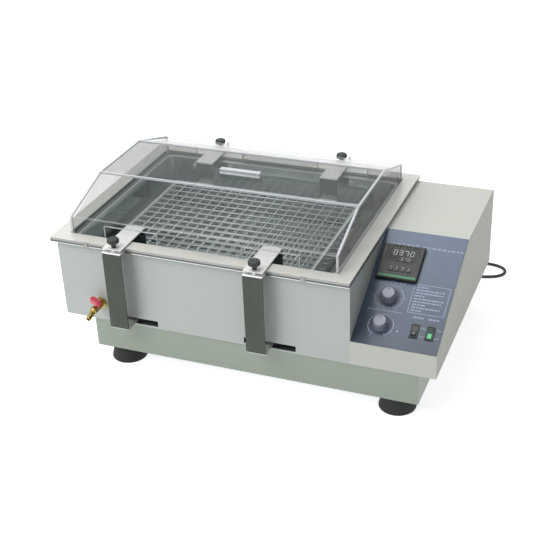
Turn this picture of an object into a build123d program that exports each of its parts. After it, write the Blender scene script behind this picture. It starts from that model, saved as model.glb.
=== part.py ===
from build123d import *
import math
import os

# Driving sizes in millimetres. X runs right, Y runs back and Z runs up from the table.
# The front left corner of the tank's rim stands over X = 0, Y = 0.

# Heights of the stack, from the table up
FOOT_HEIGHT = 34.0
PLINTH_HEIGHT = 59.0
CASING_HEIGHT = 158.0

# Sheet thicknesses
SHEET = 1.5
DECK_THICKNESS = 2.0
PANEL_THICKNESS = 1.2

# Tank: a rim with a turned-down band, a step that holds the lid, and the water space
RIM_WIDTH = 550.0
RIM_DEPTH = 440.0
RIM_BAND = 9.0
RIM_FLANGE = 26.0
STEP_DEPTH = 8.0
LEDGE_WIDTH = 10.0
TANK_DEPTH = 111.0
TANK_CORNER_RADIUS = 15.0

# Painted casing round the tank
CASING_INSET = 8.0
CASING_INSET_RIGHT = 2.0
CASING_FLANGE = 20.0
INSULATION = 12.0
INSULATION_TOP_GAP = 3.5
INSULATION_HOLE_RADIUS = 13.3

# Control housing with its sloping panel
HOUSING_WIDTH = 146.0
HOUSING_DROP = 9.0
LIP_HEIGHT = 44.0
SLOPE_RUN = 214.0
PANEL_BORDER = 8.0
HOUSING_ROUNDING = 1.2
PANEL_EDGE_GAP = 0.5

# Plinth and feet
PLINTH_INSET_LEFT = 56.0
PLINTH_INSET_RIGHT = 29.0
PLINTH_INSET_Y = 3.0
PLINTH_FLANGE = 14.0
DECK_CABLE_HOLE_RADIUS = 12.0
FOOT_RADIUS = 33.5
FOOT_TOP_RADIUS = 25.0
FOOT_INSET_X = 44.0
FOOT_INSET_Y = 34.0

# Shaker: stroke, straps and the slots they run in
CRANK_RADIUS = 14.0
STRAP_SPACING = 259.0
STRAP_WIDTH = 35.0
STRAP_THICKNESS = 2.0
STRAP_STANDOFF = 20.0
STRAP_FLANGE = 19.0
STRAP_TOP_BELOW_RIM = 2.0
STRAP_FOOT_LENGTH = 60.0
STRAP_BEND_RADIUS = 1.8
FOOT_SCREW_SETBACKS = (6.0, 15.0)
SLOT_WIDTH = 95.0
SLOT_HEIGHT = 11.5
SLOT_SILL = 3.5
FOOT_PLATE_LIFT = 2.5

# Hangers, rack and its two meshes
HANGER_REACH = 75.0
HANGER_LIFT = 2.0
HANGER_FOOT = 19.0
HANGER_SETBACK = 4.0
EAR_WIDTH = 8.0
EAR_HEIGHT = 13.0
RACK_WIDTH = 388.0
RACK_TOP_BELOW_RIM = 42.0
RACK_HEIGHT = 47.0
RACK_BAR = 6.0
MESH_WIRE = 2.4
MESH_THICKNESS = 2.4
MESH_SETBACK = 0.5
UPPER_MESH_CELLS = (20, 15)
LOWER_MESH_CELLS = (12, 9)

# Clamp knobs
SCREW_HOLE_CLEARANCE = 0.05
KNOB_RADIUS = 10.5
KNOB_HEIGHT = 8.0
KNOB_STEM_RADIUS = 3.0
KNOB_COLLAR_RADIUS = 4.0
KNOB_COLLAR_HEIGHT = 9.0
KNOB_LOWER_ROUNDING = 1.5
KNOB_FLUTES = 6
KNOB_FLUTE_RADIUS = 3.0
KNOB_FLUTE_DEPTH = 1.3
KNOB_FROM_STRAP_FACE = 12.0
STEM_BELOW_FLANGE = 5.0
SPACER_ACROSS_FLATS = 10.0

# Carriage in the gap under the tank
CHANNEL_HEIGHT = 20.0
CHANNEL_END_GAP = 20.0
TIE_WIDTH = 20.0
TIE_OFFSET = 50.0
SHAFT_RADIUS = 5.0
SHAFT_INSET = 110.0
SHAFT_LIFT = 15.5
SHAFT_START = 36.0
SHAFT_END = 516.0
SUPPORT_LENGTH = 12.0
SUPPORT_WIDTH = 22.0
SUPPORT_HEIGHT = 23.0
SUPPORT_CHAMFER = 4.0
SHAFT_OVERHANG = 4.0
BUSH_RADIUS = 8.0
BUSH_LENGTH = 45.0
RUNNING_CLEARANCE = 0.05

# Drive: gear motor under the deck, crank wheel above it, connecting rod to the carriage
CRANK_WHEEL_RADIUS = 25.0
CRANK_WHEEL_THICKNESS = 5.0
CRANK_WHEEL_CHAMFER = 0.6
CRANK_PIN_RADIUS = 6.0
CRANK_PIN_HEIGHT = 3.0
OPEN_PIVOT_GAP = 0.4
ROD_LENGTH = 105.0
ROD_THICKNESS = 6.0
ROD_WIDTH = 12.0
ROD_EYE_RADIUS = 10.0
ROD_PIN_RADIUS = 4.0
ROD_PIN_SHOULDER = 7.0
ROD_TONGUE = 28.0
MOTOR_SHAFT_RADIUS = 4.0
MOTOR_SHAFT_LENGTH = 20.0
GEARBOX_RADIUS = 30.0
GEARBOX_HEIGHT = 20.0
MOTOR_RADIUS = 25.0
MOTOR_HEIGHT = 33.0

# Lid of clear sheet, with a bar handle
LID_CLEARANCE = 2.0
LID_WALL = 4.0
LID_LIP = 28.0
LID_RISE = 67.5
LID_FLAT = 157.0
LID_SEAT_GAP = 0.3
NOTCH_WIDTH = 100.0
NOTCH_TOP = 20.0
HANDLE_LENGTH = 77.0
HANDLE_WIDTH = 10.0
HANDLE_HEIGHT = 9.0
HANDLE_NECK = 5.0
HANDLE_FLANGE = 2.5
HANDLE_TAPER = 1.0
HANDLE_SHIFT = (6.5, -18.0)

# Panel pieces; U runs right and V up the slope from the panel's lower left corner
CONTROLLER_SIZE = 72.0
CONTROLLER_CENTRE = (43.5, 167.0)
CONTROLLER_PROUD = 7.0
CONTROLLER_CHAMFER = 1.5
CONTROLLER_BODY = 66.0
CONTROLLER_BODY_DEPTH = 60.0
WINDOW_SIZE = (58.0, 34.0)
WINDOW_V = 15.0
WINDOW_THICKNESS = 1.0
KEY_SIZE = (7.0, 5.0)
KEY_PITCH = 10.5
KEY_COUNT = 4
KEY_V = -18.0
KEY_PROUD = 1.6
KEY_DEPTH = 4.0
KEY_TRAVEL = 0.8
KEY_GAP = 0.3
KEY_ROW_SHIFT = 2.75
KEY_ROUNDING = 0.6
DIAL_U = 41.5
TIMER_V = 97.0
SPEED_V = 41.0
DIAL_SKIRT_RADIUS = 13.5
DIAL_CAP_RADIUS = 11.0
DIAL_SKIRT_HEIGHT = 4.0
DIAL_HEIGHT = 15.0
DIAL_ROUNDING = 1.5
POINTER_SIZE = (1.2, 5.0, 1.0)
DIAL_GAP = 0.5
DIAL_SHAFT_RADIUS = 3.0
DIAL_SHAFT_LENGTH = 12.0
TIMER_BODY = (40.0, 40.0, 26.0)
POT_BODY_RADIUS = 12.0
POT_BODY_DEPTH = 14.0
DIAL_BUSH_RADIUS = 4.7
SWITCH_U = (99.0, 125.2)
SWITCH_V = 39.5
SWITCH_BEZEL = (13.5, 26.0)
SWITCH_BODY = (11.6, 24.0, 20.0)
SWITCH_PROUD = 2.0
SWITCH_WELL_DEPTH = 10.0
ROCKER_WIDTH = 9.0
ROCKER_RADIUS = 10.9
ROCKER_PIVOT_DEPTH = 2.0
ROCKER_CREST = 1.5
ROCKER_TILT = 8.0
ROCKER_GAP = 0.3

# Circuit board and transformer; a part on the board is its place and its size
BOARD_INSET_X = 16.0
BOARD_Y = (300.0, 410.0)
BOARD_LIFT = 8.0
BOARD_THICKNESS = 1.6
BOARD_POST_RADIUS = 3.0
RELAY = ((8.0, 10.0), (26.0, 34.0, 26.0))
HEAT_SINK = ((44.0, 8.0), (16.0, 62.0, 30.0))
CAPACITOR_COUNT = 2
CAPACITOR_INSET = (20.0, 30.0)
CAPACITOR_RADIUS = 8.0
CAPACITOR_HEIGHT = 22.0
TRANSFORMER_WIDTH = 44.0
TRANSFORMER_SHIFT = 34.0
TRANSFORMER_Y = (244.0, 290.0)
TRANSFORMER_HEIGHT = 38.0
WINDING_INSET = 9.0
WINDING_OVERHANG = 8.0
WINDING_DEEPER = 7.0

# Heater, temperature probe and their gland nuts
HEATER_TUBE_RADIUS = 4.25
HEATER_LIFT = 10.0
HEATER_SPREAD = 140.0
HEATER_BEND_RADIUS = 60.0
HEATER_END_GAP = 44.0
PROBE_RADIUS = 2.5
PROBE_LENGTH = 120.0
PROBE_TIP_ROUNDING = 2.0
PROBE_FROM_FRONT = 24.0
GLAND_ACROSS_FLATS = 19.0
GLAND_THICKNESS = 9.0
TUBE_STUB = 16.0

# Drain
DRAIN_X = 84.0
DRAIN_TANK_INSET = 26.0
DRAIN_DROP = 12.0
DRAIN_PIPE_RADIUS = 5.0
DRAIN_PIPE_WALL = 1.0
DRAIN_BEND_RADIUS = 8.0
DRAIN_NUT_ACROSS_FLATS = 19.0
DRAIN_NUT_THICKNESS = 5.0
VALVE_RADIUS = 6.5
VALVE_LENGTH = 30.0
VALVE_NECK_HEIGHT = 1.5
VALVE_STEM_RADIUS = 2.5
NOZZLE_RADIUS = 4.5
NOZZLE_BORE = 2.8
NOZZLE_LENGTH = 22.0
NOZZLE_DROP_ANGLE = 15.0
LEVER_LENGTH = 28.0
LEVER_WIDTH = 11.0
LEVER_HEIGHT = 9.0
LEVER_ROUNDING = 2.0
LEVER_LIFT = 0.5
LEVER_FROM_NUT = 15.0
LEVER_REST_ANGLE = -29.0

# Rim clips, screws and rear fittings
CLIP_WIDTH = 8.0
CLIP_THICKNESS = 1.2
CLIP_X = (71.0, 471.0)
SCREW_RADIUS = 2.0
SCREW_HEAD_RADIUS = 4.0
SCREW_HEAD_HEIGHT = 2.6
SCREW_LENGTH = 12.0
SHORT_SCREW_LENGTH = 4.0
MOTOR_SCREW_OFFSET = 17.0
LOUVRE_SIZE = (46.0, 4.0)
LOUVRE_COUNT = 7
LOUVRE_PITCH = 12.0
LOUVRES_ABOVE_GLAND = 26.0
FUSE_RADIUS = 6.5
FUSE_PROUD = 9.0
FUSE_DEPTH = 26.0
FUSE_CAP_OVERHANG = 1.5
FUSE_FROM_GLAND = 35.0
REAR_SCREW_INSET = 10.0
REAR_SCREW_LIFT = 9.0

# Mains cord, its strain relief, the put-away coil and the plug
CORD_RADIUS = 3.2
GLAND_RADIUS = 8.0
GLAND_TIP_RADIUS = 4.4
GLAND_LENGTH = 26.0
GLAND_FLANGE = 3.0
GLAND_FLANGE_OVERHANG = 2.0
GLAND_NUT_DEPTH = 7.0
GLAND_HEIGHT = 112.0
GLAND_FROM_RIGHT = 60.0
GLAND_HOLE_RADIUS = 6.0
TIE_BAND = 0.9
TIE_GAP = 0.15
COIL_INNER_RADIUS = 25.5
COIL_TURNS_PER_LAYER = 2.5
COIL_GAP = 0.6
CORD_BEND_SHARE = 0.45
QUARTER_TURN = 0.25
COIL_CENTRE = (520.0, 532.5)
COIL_TAIL = 26.0
TIE_BAND_WIDTH = 6.0
TIE_BEND_RADIUS = 3.0
PLUG_NECK_LENGTH = 16.0
PLUG_NECK_END_RADIUS = 7.0
PLUG_BODY = (30.0, 28.0, 20.0)
PLUG_ROUNDING = 5.0
PLUG_CHAMFER = 2.0
PLUG_BLADE = (16.0, 1.5, 6.3)
PLUG_BLADE_SPACING = 12.7
PLUG_EARTH_RADIUS = 2.4
PLUG_EARTH_OFFSET = 11.9

# Levels and planes worked out from the sizes above
PLINTH_TOP = FOOT_HEIGHT + PLINTH_HEIGHT
DECK_TOP = PLINTH_TOP + DECK_THICKNESS
RIM_TOP = PLINTH_TOP + CASING_HEIGHT
LEDGE_Z = RIM_TOP - STEP_DEPTH
CASING_TOP = LEDGE_Z - SHEET
TANK_FLOOR = RIM_TOP - TANK_DEPTH
HOUSING_TOP = RIM_TOP - HOUSING_DROP
LIP_TOP = PLINTH_TOP + LIP_HEIGHT
CASING_X = (CASING_INSET, RIM_WIDTH - CASING_INSET_RIGHT)
CASING_Y = (CASING_INSET, RIM_DEPTH - CASING_INSET)
HOUSING_X = (CASING_X[1], CASING_X[1] + HOUSING_WIDTH)
TANK_INSET = RIM_FLANGE + LEDGE_WIDTH
MID_Y = RIM_DEPTH / 2
STRAP_X = tuple(RIM_WIDTH / 2 + side * STRAP_SPACING / 2 - CRANK_RADIUS for side in (-1, 1))
SLOT_X = tuple(x + CRANK_RADIUS for x in STRAP_X)
FOOT_PLATE_Z = DECK_TOP + FOOT_PLATE_LIFT
CHANNEL_Z = FOOT_PLATE_Z + STRAP_THICKNESS
SHAFT_Z = DECK_TOP + SHAFT_LIFT
SHAFT_Y = (SHAFT_INSET, RIM_DEPTH - SHAFT_INSET)
FLANGE_TOP = RIM_TOP - STRAP_TOP_BELOW_RIM
HANGER_Z = RIM_TOP + HANGER_LIFT
RACK_TOP = RIM_TOP - RACK_TOP_BELOW_RIM
RACK_BOTTOM = RACK_TOP - RACK_HEIGHT
RACK_X = (RIM_WIDTH / 2 - CRANK_RADIUS - RACK_WIDTH / 2, RIM_WIDTH / 2 - CRANK_RADIUS + RACK_WIDTH / 2)
RACK_Y = (HANGER_REACH - STRAP_THICKNESS, RIM_DEPTH - HANGER_REACH + STRAP_THICKNESS)
CHANNEL_FACE_X = STRAP_X[1] - STRAP_WIDTH / 2
ROD_PIN_X = CHANNEL_FACE_X - ROD_TONGUE / 2 - 2.0
CRANK_X = ROD_PIN_X - ROD_LENGTH + CRANK_RADIUS
CRANK_WHEEL_Z = DECK_TOP + SCREW_HEAD_HEIGHT + 0.6
CRANK_PIN_TOP = CRANK_WHEEL_Z + CRANK_WHEEL_THICKNESS + CRANK_PIN_HEIGHT
ROD_Z = CRANK_PIN_TOP + OPEN_PIVOT_GAP
LID_INSET = RIM_FLANGE + LID_CLEARANCE
DRAIN_Z = TANK_FLOOR - DRAIN_DROP
SLOPE_HEIGHT = HOUSING_TOP - LIP_TOP
SLOPE_LENGTH = math.hypot(SLOPE_RUN, SLOPE_HEIGHT)
PANEL = Plane(
    origin=(HOUSING_X[0], CASING_Y[0], LIP_TOP),
    x_dir=(1, 0, 0),
    z_dir=(0, -SLOPE_HEIGHT / SLOPE_LENGTH, SLOPE_RUN / SLOPE_LENGTH),
)

# The saved origin is on the table under the middle of the instrument, its cord left out
NOZZLE_REACH = NOZZLE_LENGTH * math.cos(math.radians(NOZZLE_DROP_ANGLE))
NOZZLE_TIP_RISE = NOZZLE_RADIUS * math.sin(math.radians(NOZZLE_DROP_ANGLE))
FRONT_MOST = CASING_Y[0] - VALVE_LENGTH - NOZZLE_REACH - NOZZLE_TIP_RISE
BACK_MOST = RIM_DEPTH + STRAP_STANDOFF
ORIGIN = Vector(HOUSING_X[1] / 2, (FRONT_MOST + BACK_MOST) / 2, 0)


def box(x, y, z):
    """Block between the two ends given for each axis."""
    size = [end - start for start, end in (x, y, z)]
    middle = [(start + end) / 2 for start, end in (x, y, z)]
    return Pos(*middle) * Box(*size)


def inset(span, amount):
    """Span drawn in by the same amount at both ends."""
    return (span[0] + amount, span[1] - amount)


def round_box(x, y, z, radius):
    """Block with its upright corners rounded."""
    outline = RectangleRounded(x[1] - x[0], y[1] - y[0], radius)
    return Pos((x[0] + x[1]) / 2, (y[0] + y[1]) / 2, z[0]) * extrude(outline, z[1] - z[0])


def wall_ring(x, y, z, wall):
    """Four upright walls without floor or top."""
    return box(x, y, z) - box(inset(x, wall), inset(y, wall), z)


def drum(x, y, z, radius):
    """Upright cylinder between two heights."""
    return Pos(x, y, (z[0] + z[1]) / 2) * Cylinder(radius, z[1] - z[0])


def bar_x(x, y, z, radius):
    """Round bar along X."""
    return Pos((x[0] + x[1]) / 2, y, z) * Rot(0, 90, 0) * Cylinder(radius, x[1] - x[0])


def bar_y(x, y, z, radius):
    """Round bar along Y."""
    return Pos(x, (y[0] + y[1]) / 2, z) * Rot(90, 0, 0) * Cylinder(radius, y[1] - y[0])


def hexagon(across_flats, height):
    """Hexagonal prism standing on its base."""
    return extrude(RegularPolygon(across_flats / 2, 6, major_radius=False), height)


def on_panel(u, v, w, solid):
    """Places a solid on the sloping panel, W out of it."""
    return PANEL.location * Pos(u, v, w) * solid


def panel_box(u, v, w):
    """Block given by its spans in the panel's own directions."""
    return PANEL.location * box(u, v, w)


def outermost_edges(solid):
    """Edges of the face of a solid that stands furthest out of the panel."""
    return solid.faces().sort_by(Axis(PANEL.origin, PANEL.z_dir))[-1].edges()


def centred(middle, size):
    """Span of a size about its middle."""
    return (middle - size / 2, middle + size / 2)


def mirror_back(solid):
    """Copy of a front piece at the back of the instrument."""
    return mirror(solid, Plane.XZ.offset(-MID_Y))


def pan_screw(length):
    """Pan-head screw with its head above the origin and its shank below."""
    head = Pos(0, 0, SCREW_HEAD_HEIGHT / 2) * Cylinder(SCREW_HEAD_RADIUS, SCREW_HEAD_HEIGHT)
    head = fillet(head.edges().group_by(Axis.Z)[-1], SCREW_HEAD_HEIGHT / 3)
    return head + Pos(0, 0, -length / 2) * Cylinder(SCREW_RADIUS, length)


def tank():
    """Pressed steel tank with its rim, turned-down band, step and rounded corners."""
    outer_x, outer_y = (0, RIM_WIDTH), (0, RIM_DEPTH)
    step_x, step_y = inset(outer_x, RIM_FLANGE), inset(outer_y, RIM_FLANGE)
    tub_x, tub_y = inset(outer_x, TANK_INSET), inset(outer_y, TANK_INSET)
    shell = box(outer_x, outer_y, (RIM_TOP - SHEET, RIM_TOP))
    shell += wall_ring(outer_x, outer_y, (RIM_TOP - RIM_BAND, RIM_TOP), SHEET)
    shell += box(inset(step_x, -SHEET), inset(step_y, -SHEET), (CASING_TOP, RIM_TOP))
    shell += round_box(
        inset(tub_x, -SHEET), inset(tub_y, -SHEET), (TANK_FLOOR - SHEET, CASING_TOP), TANK_CORNER_RADIUS + SHEET
    )
    shell -= box(step_x, step_y, (LEDGE_Z, RIM_TOP))
    shell -= round_box(tub_x, tub_y, (TANK_FLOOR, LEDGE_Z), TANK_CORNER_RADIUS)
    for y, z, radius in tube_places():
        shell -= bar_x((tub_x[1] - SHEET, tub_x[1] + 2 * SHEET), y, z, radius + SCREW_HOLE_CLEARANCE)
    shell -= drum(DRAIN_X, drain_y(), (TANK_FLOOR - 2 * SHEET, TANK_FLOOR + SHEET), DRAIN_PIPE_RADIUS)
    return shell


def tube_places():
    """Y, Z and radius of each tube through the tank's right wall."""
    heater_z = TANK_FLOOR + HEATER_LIFT
    legs = [(MID_Y + side * HEATER_SPREAD / 2, heater_z, HEATER_TUBE_RADIUS) for side in (-1, 1)]
    return legs + [(TANK_INSET + PROBE_FROM_FRONT, heater_z, PROBE_RADIUS)]


def drain_y():
    """Distance of the drain hole's centre behind the rim's front edge."""
    return TANK_INSET + DRAIN_TANK_INSET


def tub_casing():
    """Painted casing round the tank, with a slot for each strap's foot."""
    shell = wall_ring(CASING_X, CASING_Y, (PLINTH_TOP, CASING_TOP), SHEET)
    shell += box(CASING_X, CASING_Y, (CASING_TOP - SHEET, CASING_TOP)) - box(
        inset(CASING_X, CASING_FLANGE), inset(CASING_Y, CASING_FLANGE), (PLINTH_TOP, CASING_TOP)
    )
    right_wall_foot = (CASING_X[1] - SHEET, CASING_X[1])
    shell -= box(right_wall_foot, inset(CASING_Y, SHEET), (PLINTH_TOP, DECK_TOP))
    slot_z = (PLINTH_TOP + SLOT_SILL, PLINTH_TOP + SLOT_SILL + SLOT_HEIGHT)
    for x in SLOT_X:
        for y in CASING_Y:
            shell -= box(centred(x, SLOT_WIDTH), centred(y, 4 * SHEET), slot_z)
    shell -= bar_y(DRAIN_X, centred(CASING_Y[0], 4 * SHEET), DRAIN_Z, DRAIN_PIPE_RADIUS)
    return shell


def tank_insulation():
    """Foam box round the tank's walls and floor."""
    x, y = inset((0, RIM_WIDTH), TANK_INSET - SHEET), inset((0, RIM_DEPTH), TANK_INSET - SHEET)
    floor = TANK_FLOOR - SHEET
    height = (floor - INSULATION, CASING_TOP - INSULATION_TOP_GAP)
    foam = box(inset(x, -INSULATION), inset(y, -INSULATION), height)
    foam -= box(x, y, (floor, CASING_TOP))
    for tube_y, z, _ in tube_places():
        foam -= bar_x((x[1], x[1] + 2 * INSULATION), tube_y, z, INSULATION_HOLE_RADIUS)
    pipe_space = DRAIN_PIPE_RADIUS + 2
    foam -= box(
        centred(DRAIN_X, 2 * pipe_space), (0, drain_y() + pipe_space), (floor - 2 * INSULATION, floor)
    )
    return foam


def deck_plate():
    """Floor of the casing and the control housing; it carries the shaker."""
    plate = box(
        (CASING_X[0] + SHEET, HOUSING_X[1] - SHEET), inset(CASING_Y, SHEET), (PLINTH_TOP, DECK_TOP)
    )
    plate -= drum(CRANK_X, MID_Y, (PLINTH_TOP, DECK_TOP), MOTOR_SHAFT_RADIUS * 2)
    for x, y in motor_screw_places():
        plate -= drum(x, y, (PLINTH_TOP, DECK_TOP), SCREW_RADIUS + SCREW_HOLE_CLEARANCE)
    cable_hole = (HOUSING_X[0] + HOUSING_WIDTH / 2, MID_Y)
    return plate - drum(*cable_hole, (PLINTH_TOP, DECK_TOP), DECK_CABLE_HOLE_RADIUS)


def motor_screw_places():
    """Centres of the four screws that hold the gear motor under the deck."""
    offsets = (-MOTOR_SCREW_OFFSET, MOTOR_SCREW_OFFSET)
    return [(CRANK_X + dx, MID_Y + dy) for dx in offsets for dy in offsets]


PLINTH_X = (CASING_X[0] + PLINTH_INSET_LEFT, HOUSING_X[1] - PLINTH_INSET_RIGHT)
PLINTH_Y = inset(CASING_Y, PLINTH_INSET_Y)


def plinth_casing():
    """Painted base box with an inward flange under the deck."""
    shell = wall_ring(PLINTH_X, PLINTH_Y, (FOOT_HEIGHT, PLINTH_TOP), SHEET)
    flange = wall_ring(PLINTH_X, PLINTH_Y, (PLINTH_TOP - SHEET, PLINTH_TOP), PLINTH_FLANGE)
    return shell + flange


def bottom_plate():
    """Plate that closes the plinth from below, with vent slots under the motor."""
    plate = box(inset(PLINTH_X, SHEET), inset(PLINTH_Y, SHEET), (FOOT_HEIGHT, FOOT_HEIGHT + SHEET))
    slot = extrude(SlotOverall(LOUVRE_SIZE[0], LOUVRE_SIZE[1]), 2 * SHEET)
    for index in range(LOUVRE_COUNT):
        y = MID_Y + (index - (LOUVRE_COUNT - 1) / 2) * LOUVRE_PITCH
        plate -= Pos(CRANK_X, y, FOOT_HEIGHT - SHEET / 2) * slot
    for x, y in foot_places():
        plate -= drum(x, y, (FOOT_HEIGHT, FOOT_HEIGHT + SHEET), SCREW_RADIUS + SCREW_HOLE_CLEARANCE)
    return plate


def foot_places():
    """Centres of the four feet."""
    xs, ys = inset(PLINTH_X, FOOT_INSET_X), inset(PLINTH_Y, FOOT_INSET_Y)
    return [(x, y) for x in xs for y in ys]


def rubber_feet():
    """Four tapered rubber feet, each hollowed from below for its screw."""
    foot = Pos(0, 0, FOOT_HEIGHT / 2) * Cone(FOOT_RADIUS, FOOT_TOP_RADIUS, FOOT_HEIGHT)
    foot = fillet(foot.edges().group_by(Axis.Z)[0], 3.0)
    well = FOOT_HEIGHT - (SCREW_LENGTH - 3 * SHEET)
    foot -= Pos(0, 0, well / 2) * Cylinder(SCREW_HEAD_RADIUS + 1, well)
    foot -= Pos(0, 0, FOOT_HEIGHT / 2) * Cylinder(SCREW_RADIUS + SCREW_HOLE_CLEARANCE, FOOT_HEIGHT)
    return [Pos(x, y, 0) * foot for x, y in foot_places()]


def mitres(gap, rise, run):
    """How far the two bends of a sloping sheet move when its outline is drawn in by a gap."""
    slope = math.atan2(rise, run)
    lower_drop = gap * (1 - math.sin(slope)) / math.cos(slope)
    crest_shift = gap * (1 - math.cos(slope)) / math.sin(slope)
    return lower_drop, crest_shift


def side_prism(points, x):
    """Prism along X over a span, with its outline given in Y and Z."""
    face = make_face(Plane.YZ * Polyline(*points, close=True))
    return Pos(x[0], 0, 0) * extrude(face, x[1] - x[0], dir=(1, 0, 0))


def housing_prism(gap, x):
    """Side outline of the control housing, drawn in by a gap, over a span of X."""
    lower_drop, crest_shift = mitres(gap, SLOPE_HEIGHT, SLOPE_RUN)
    y0, y1 = CASING_Y[0] + gap, CASING_Y[1]
    crest = CASING_Y[0] + SLOPE_RUN + crest_shift
    top = HOUSING_TOP - gap
    points = [(y0, PLINTH_TOP), (y0, LIP_TOP - lower_drop), (crest, top), (y1, top), (y1, PLINTH_TOP)]
    return side_prism(points, x)


def control_housing():
    """Folded sheet housing, open at the left, below and behind, with a window in its slope."""
    outer = housing_prism(0, HOUSING_X)
    crest = outer.edges().filter_by(Axis.X).group_by(Axis.Z)[-1].sort_by(Axis.Y)[0]
    right_edges = outer.faces().sort_by(Axis.X)[-1].edges().group_by(Axis.Z)[-2:]
    outer = fillet([crest] + [edge for group in right_edges for edge in group], HOUSING_ROUNDING)
    shell = outer - housing_prism(SHEET, (HOUSING_X[0], HOUSING_X[1] - SHEET))
    window_u = (PANEL_BORDER, HOUSING_WIDTH - PANEL_BORDER)
    window_v = (PANEL_BORDER, SLOPE_LENGTH - PANEL_BORDER)
    return shell - panel_box(window_u, window_v, (-3 * SHEET, SHEET))


def control_panel():
    """Printed panel plate on the slope, cut out for its controls."""
    plate_u = (CASING_INSET_RIGHT + PANEL_EDGE_GAP, HOUSING_WIDTH - SHEET)
    plate = panel_box(plate_u, inset((0, SLOPE_LENGTH), PANEL_EDGE_GAP), (0, PANEL_THICKNESS))
    depth = (-SHEET, 2 * SHEET)
    hole = CONTROLLER_BODY + 2 * KEY_GAP
    plate -= panel_box(centred(CONTROLLER_CENTRE[0], hole), centred(CONTROLLER_CENTRE[1], hole), depth)
    for v in (TIMER_V, SPEED_V):
        plate -= on_panel(DIAL_U, v, 0, Cylinder(DIAL_BUSH_RADIUS + SCREW_HOLE_CLEARANCE, 4 * SHEET))
    for u in SWITCH_U:
        plate -= panel_box(centred(u, SWITCH_BODY[0]), centred(SWITCH_V, SWITCH_BODY[1]), depth)
    return plate


def controller_case():
    """Temperature controller: square bezel, window recess, key holes and its body behind."""
    u, v = CONTROLLER_CENTRE
    front, back = PANEL_THICKNESS, -CONTROLLER_BODY_DEPTH
    top = front + CONTROLLER_PROUD
    bezel = panel_box(centred(u, CONTROLLER_SIZE), centred(v, CONTROLLER_SIZE), (front, top))
    bezel = chamfer(outermost_edges(bezel), CONTROLLER_CHAMFER)
    case = bezel + panel_box(centred(u, CONTROLLER_BODY), centred(v, CONTROLLER_BODY), (back, front))
    case -= window_box(top)
    for key_u in key_places():
        case -= panel_box(
            centred(key_u, KEY_SIZE[0] + 2 * KEY_GAP),
            centred(v + KEY_V, KEY_SIZE[1] + 2 * KEY_GAP),
            (top - KEY_DEPTH - KEY_TRAVEL - KEY_GAP, top),
        )
    return case


def key_places():
    """U of each controller key, left to right."""
    middle = CONTROLLER_CENTRE[0] + KEY_ROW_SHIFT
    return [middle + (index - (KEY_COUNT - 1) / 2) * KEY_PITCH for index in range(KEY_COUNT)]


def window_box(top):
    """Space of the controller's window under its front face."""
    u, v = CONTROLLER_CENTRE
    across, up = centred(u, WINDOW_SIZE[0]), centred(v + WINDOW_V, WINDOW_SIZE[1])
    return panel_box(across, up, (top - WINDOW_THICKNESS, top))


def controller_window():
    """Clear window over the controller's figures."""
    return window_box(PANEL_THICKNESS + CONTROLLER_PROUD)


def controller_key(u):
    """One key, proud of the bezel and free to travel into it."""
    top = PANEL_THICKNESS + CONTROLLER_PROUD
    height = centred(CONTROLLER_CENTRE[1] + KEY_V, KEY_SIZE[1])
    key = panel_box(centred(u, KEY_SIZE[0]), height, (top - KEY_DEPTH, top + KEY_PROUD))
    return fillet(outermost_edges(key), KEY_ROUNDING)


def dial_knob(v):
    """Skirted knob with a grip, a pointer line and its shaft."""
    base = DIAL_GAP
    skirt = Cone(DIAL_SKIRT_RADIUS, DIAL_CAP_RADIUS + 1, DIAL_SKIRT_HEIGHT)
    skirt = Pos(0, 0, base + DIAL_SKIRT_HEIGHT / 2) * skirt
    cap = Pos(0, 0, (base + DIAL_HEIGHT) / 2) * Cylinder(DIAL_CAP_RADIUS, DIAL_HEIGHT - base)
    cap = fillet(cap.edges().group_by(Axis.Z)[-1], DIAL_ROUNDING)
    shaft_top = base + DIAL_HEIGHT / 2
    shaft = Pos(0, 0, shaft_top - (shaft_top + DIAL_SHAFT_LENGTH) / 2) * Cylinder(
        DIAL_SHAFT_RADIUS, shaft_top + DIAL_SHAFT_LENGTH
    )
    pointer = Pos(0, DIAL_CAP_RADIUS - 2, DIAL_HEIGHT) * Box(*POINTER_SIZE)
    return on_panel(DIAL_U, v, PANEL_THICKNESS, skirt + cap + shaft - pointer)


def dial_timer():
    """Clockwork timer behind the upper dial."""
    width, height, depth = TIMER_BODY
    back = -SHEET - 1
    body = Pos(0, 0, back - depth / 2) * Box(width, height, depth)
    return dial_unit(TIMER_V, body, back)


def speed_potentiometer():
    """Potentiometer behind the lower dial."""
    back = -SHEET - 1
    body = Pos(0, 0, back - POT_BODY_DEPTH / 2) * Cylinder(POT_BODY_RADIUS, POT_BODY_DEPTH)
    return dial_unit(SPEED_V, body, back)


def dial_unit(v, body, back):
    """Adds the threaded bush that goes through the panel and bores it for the shaft."""
    bush = Pos(0, 0, (back + PANEL_THICKNESS) / 2) * Cylinder(DIAL_BUSH_RADIUS, PANEL_THICKNESS - back)
    bore = Cylinder(DIAL_SHAFT_RADIUS + RUNNING_CLEARANCE, DIAL_SHAFT_LENGTH + 2 * DIAL_SHAFT_RADIUS)
    bore = Pos(0, 0, -DIAL_SHAFT_LENGTH / 2) * bore
    return on_panel(DIAL_U, v, 0, body + bush - bore)


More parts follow.
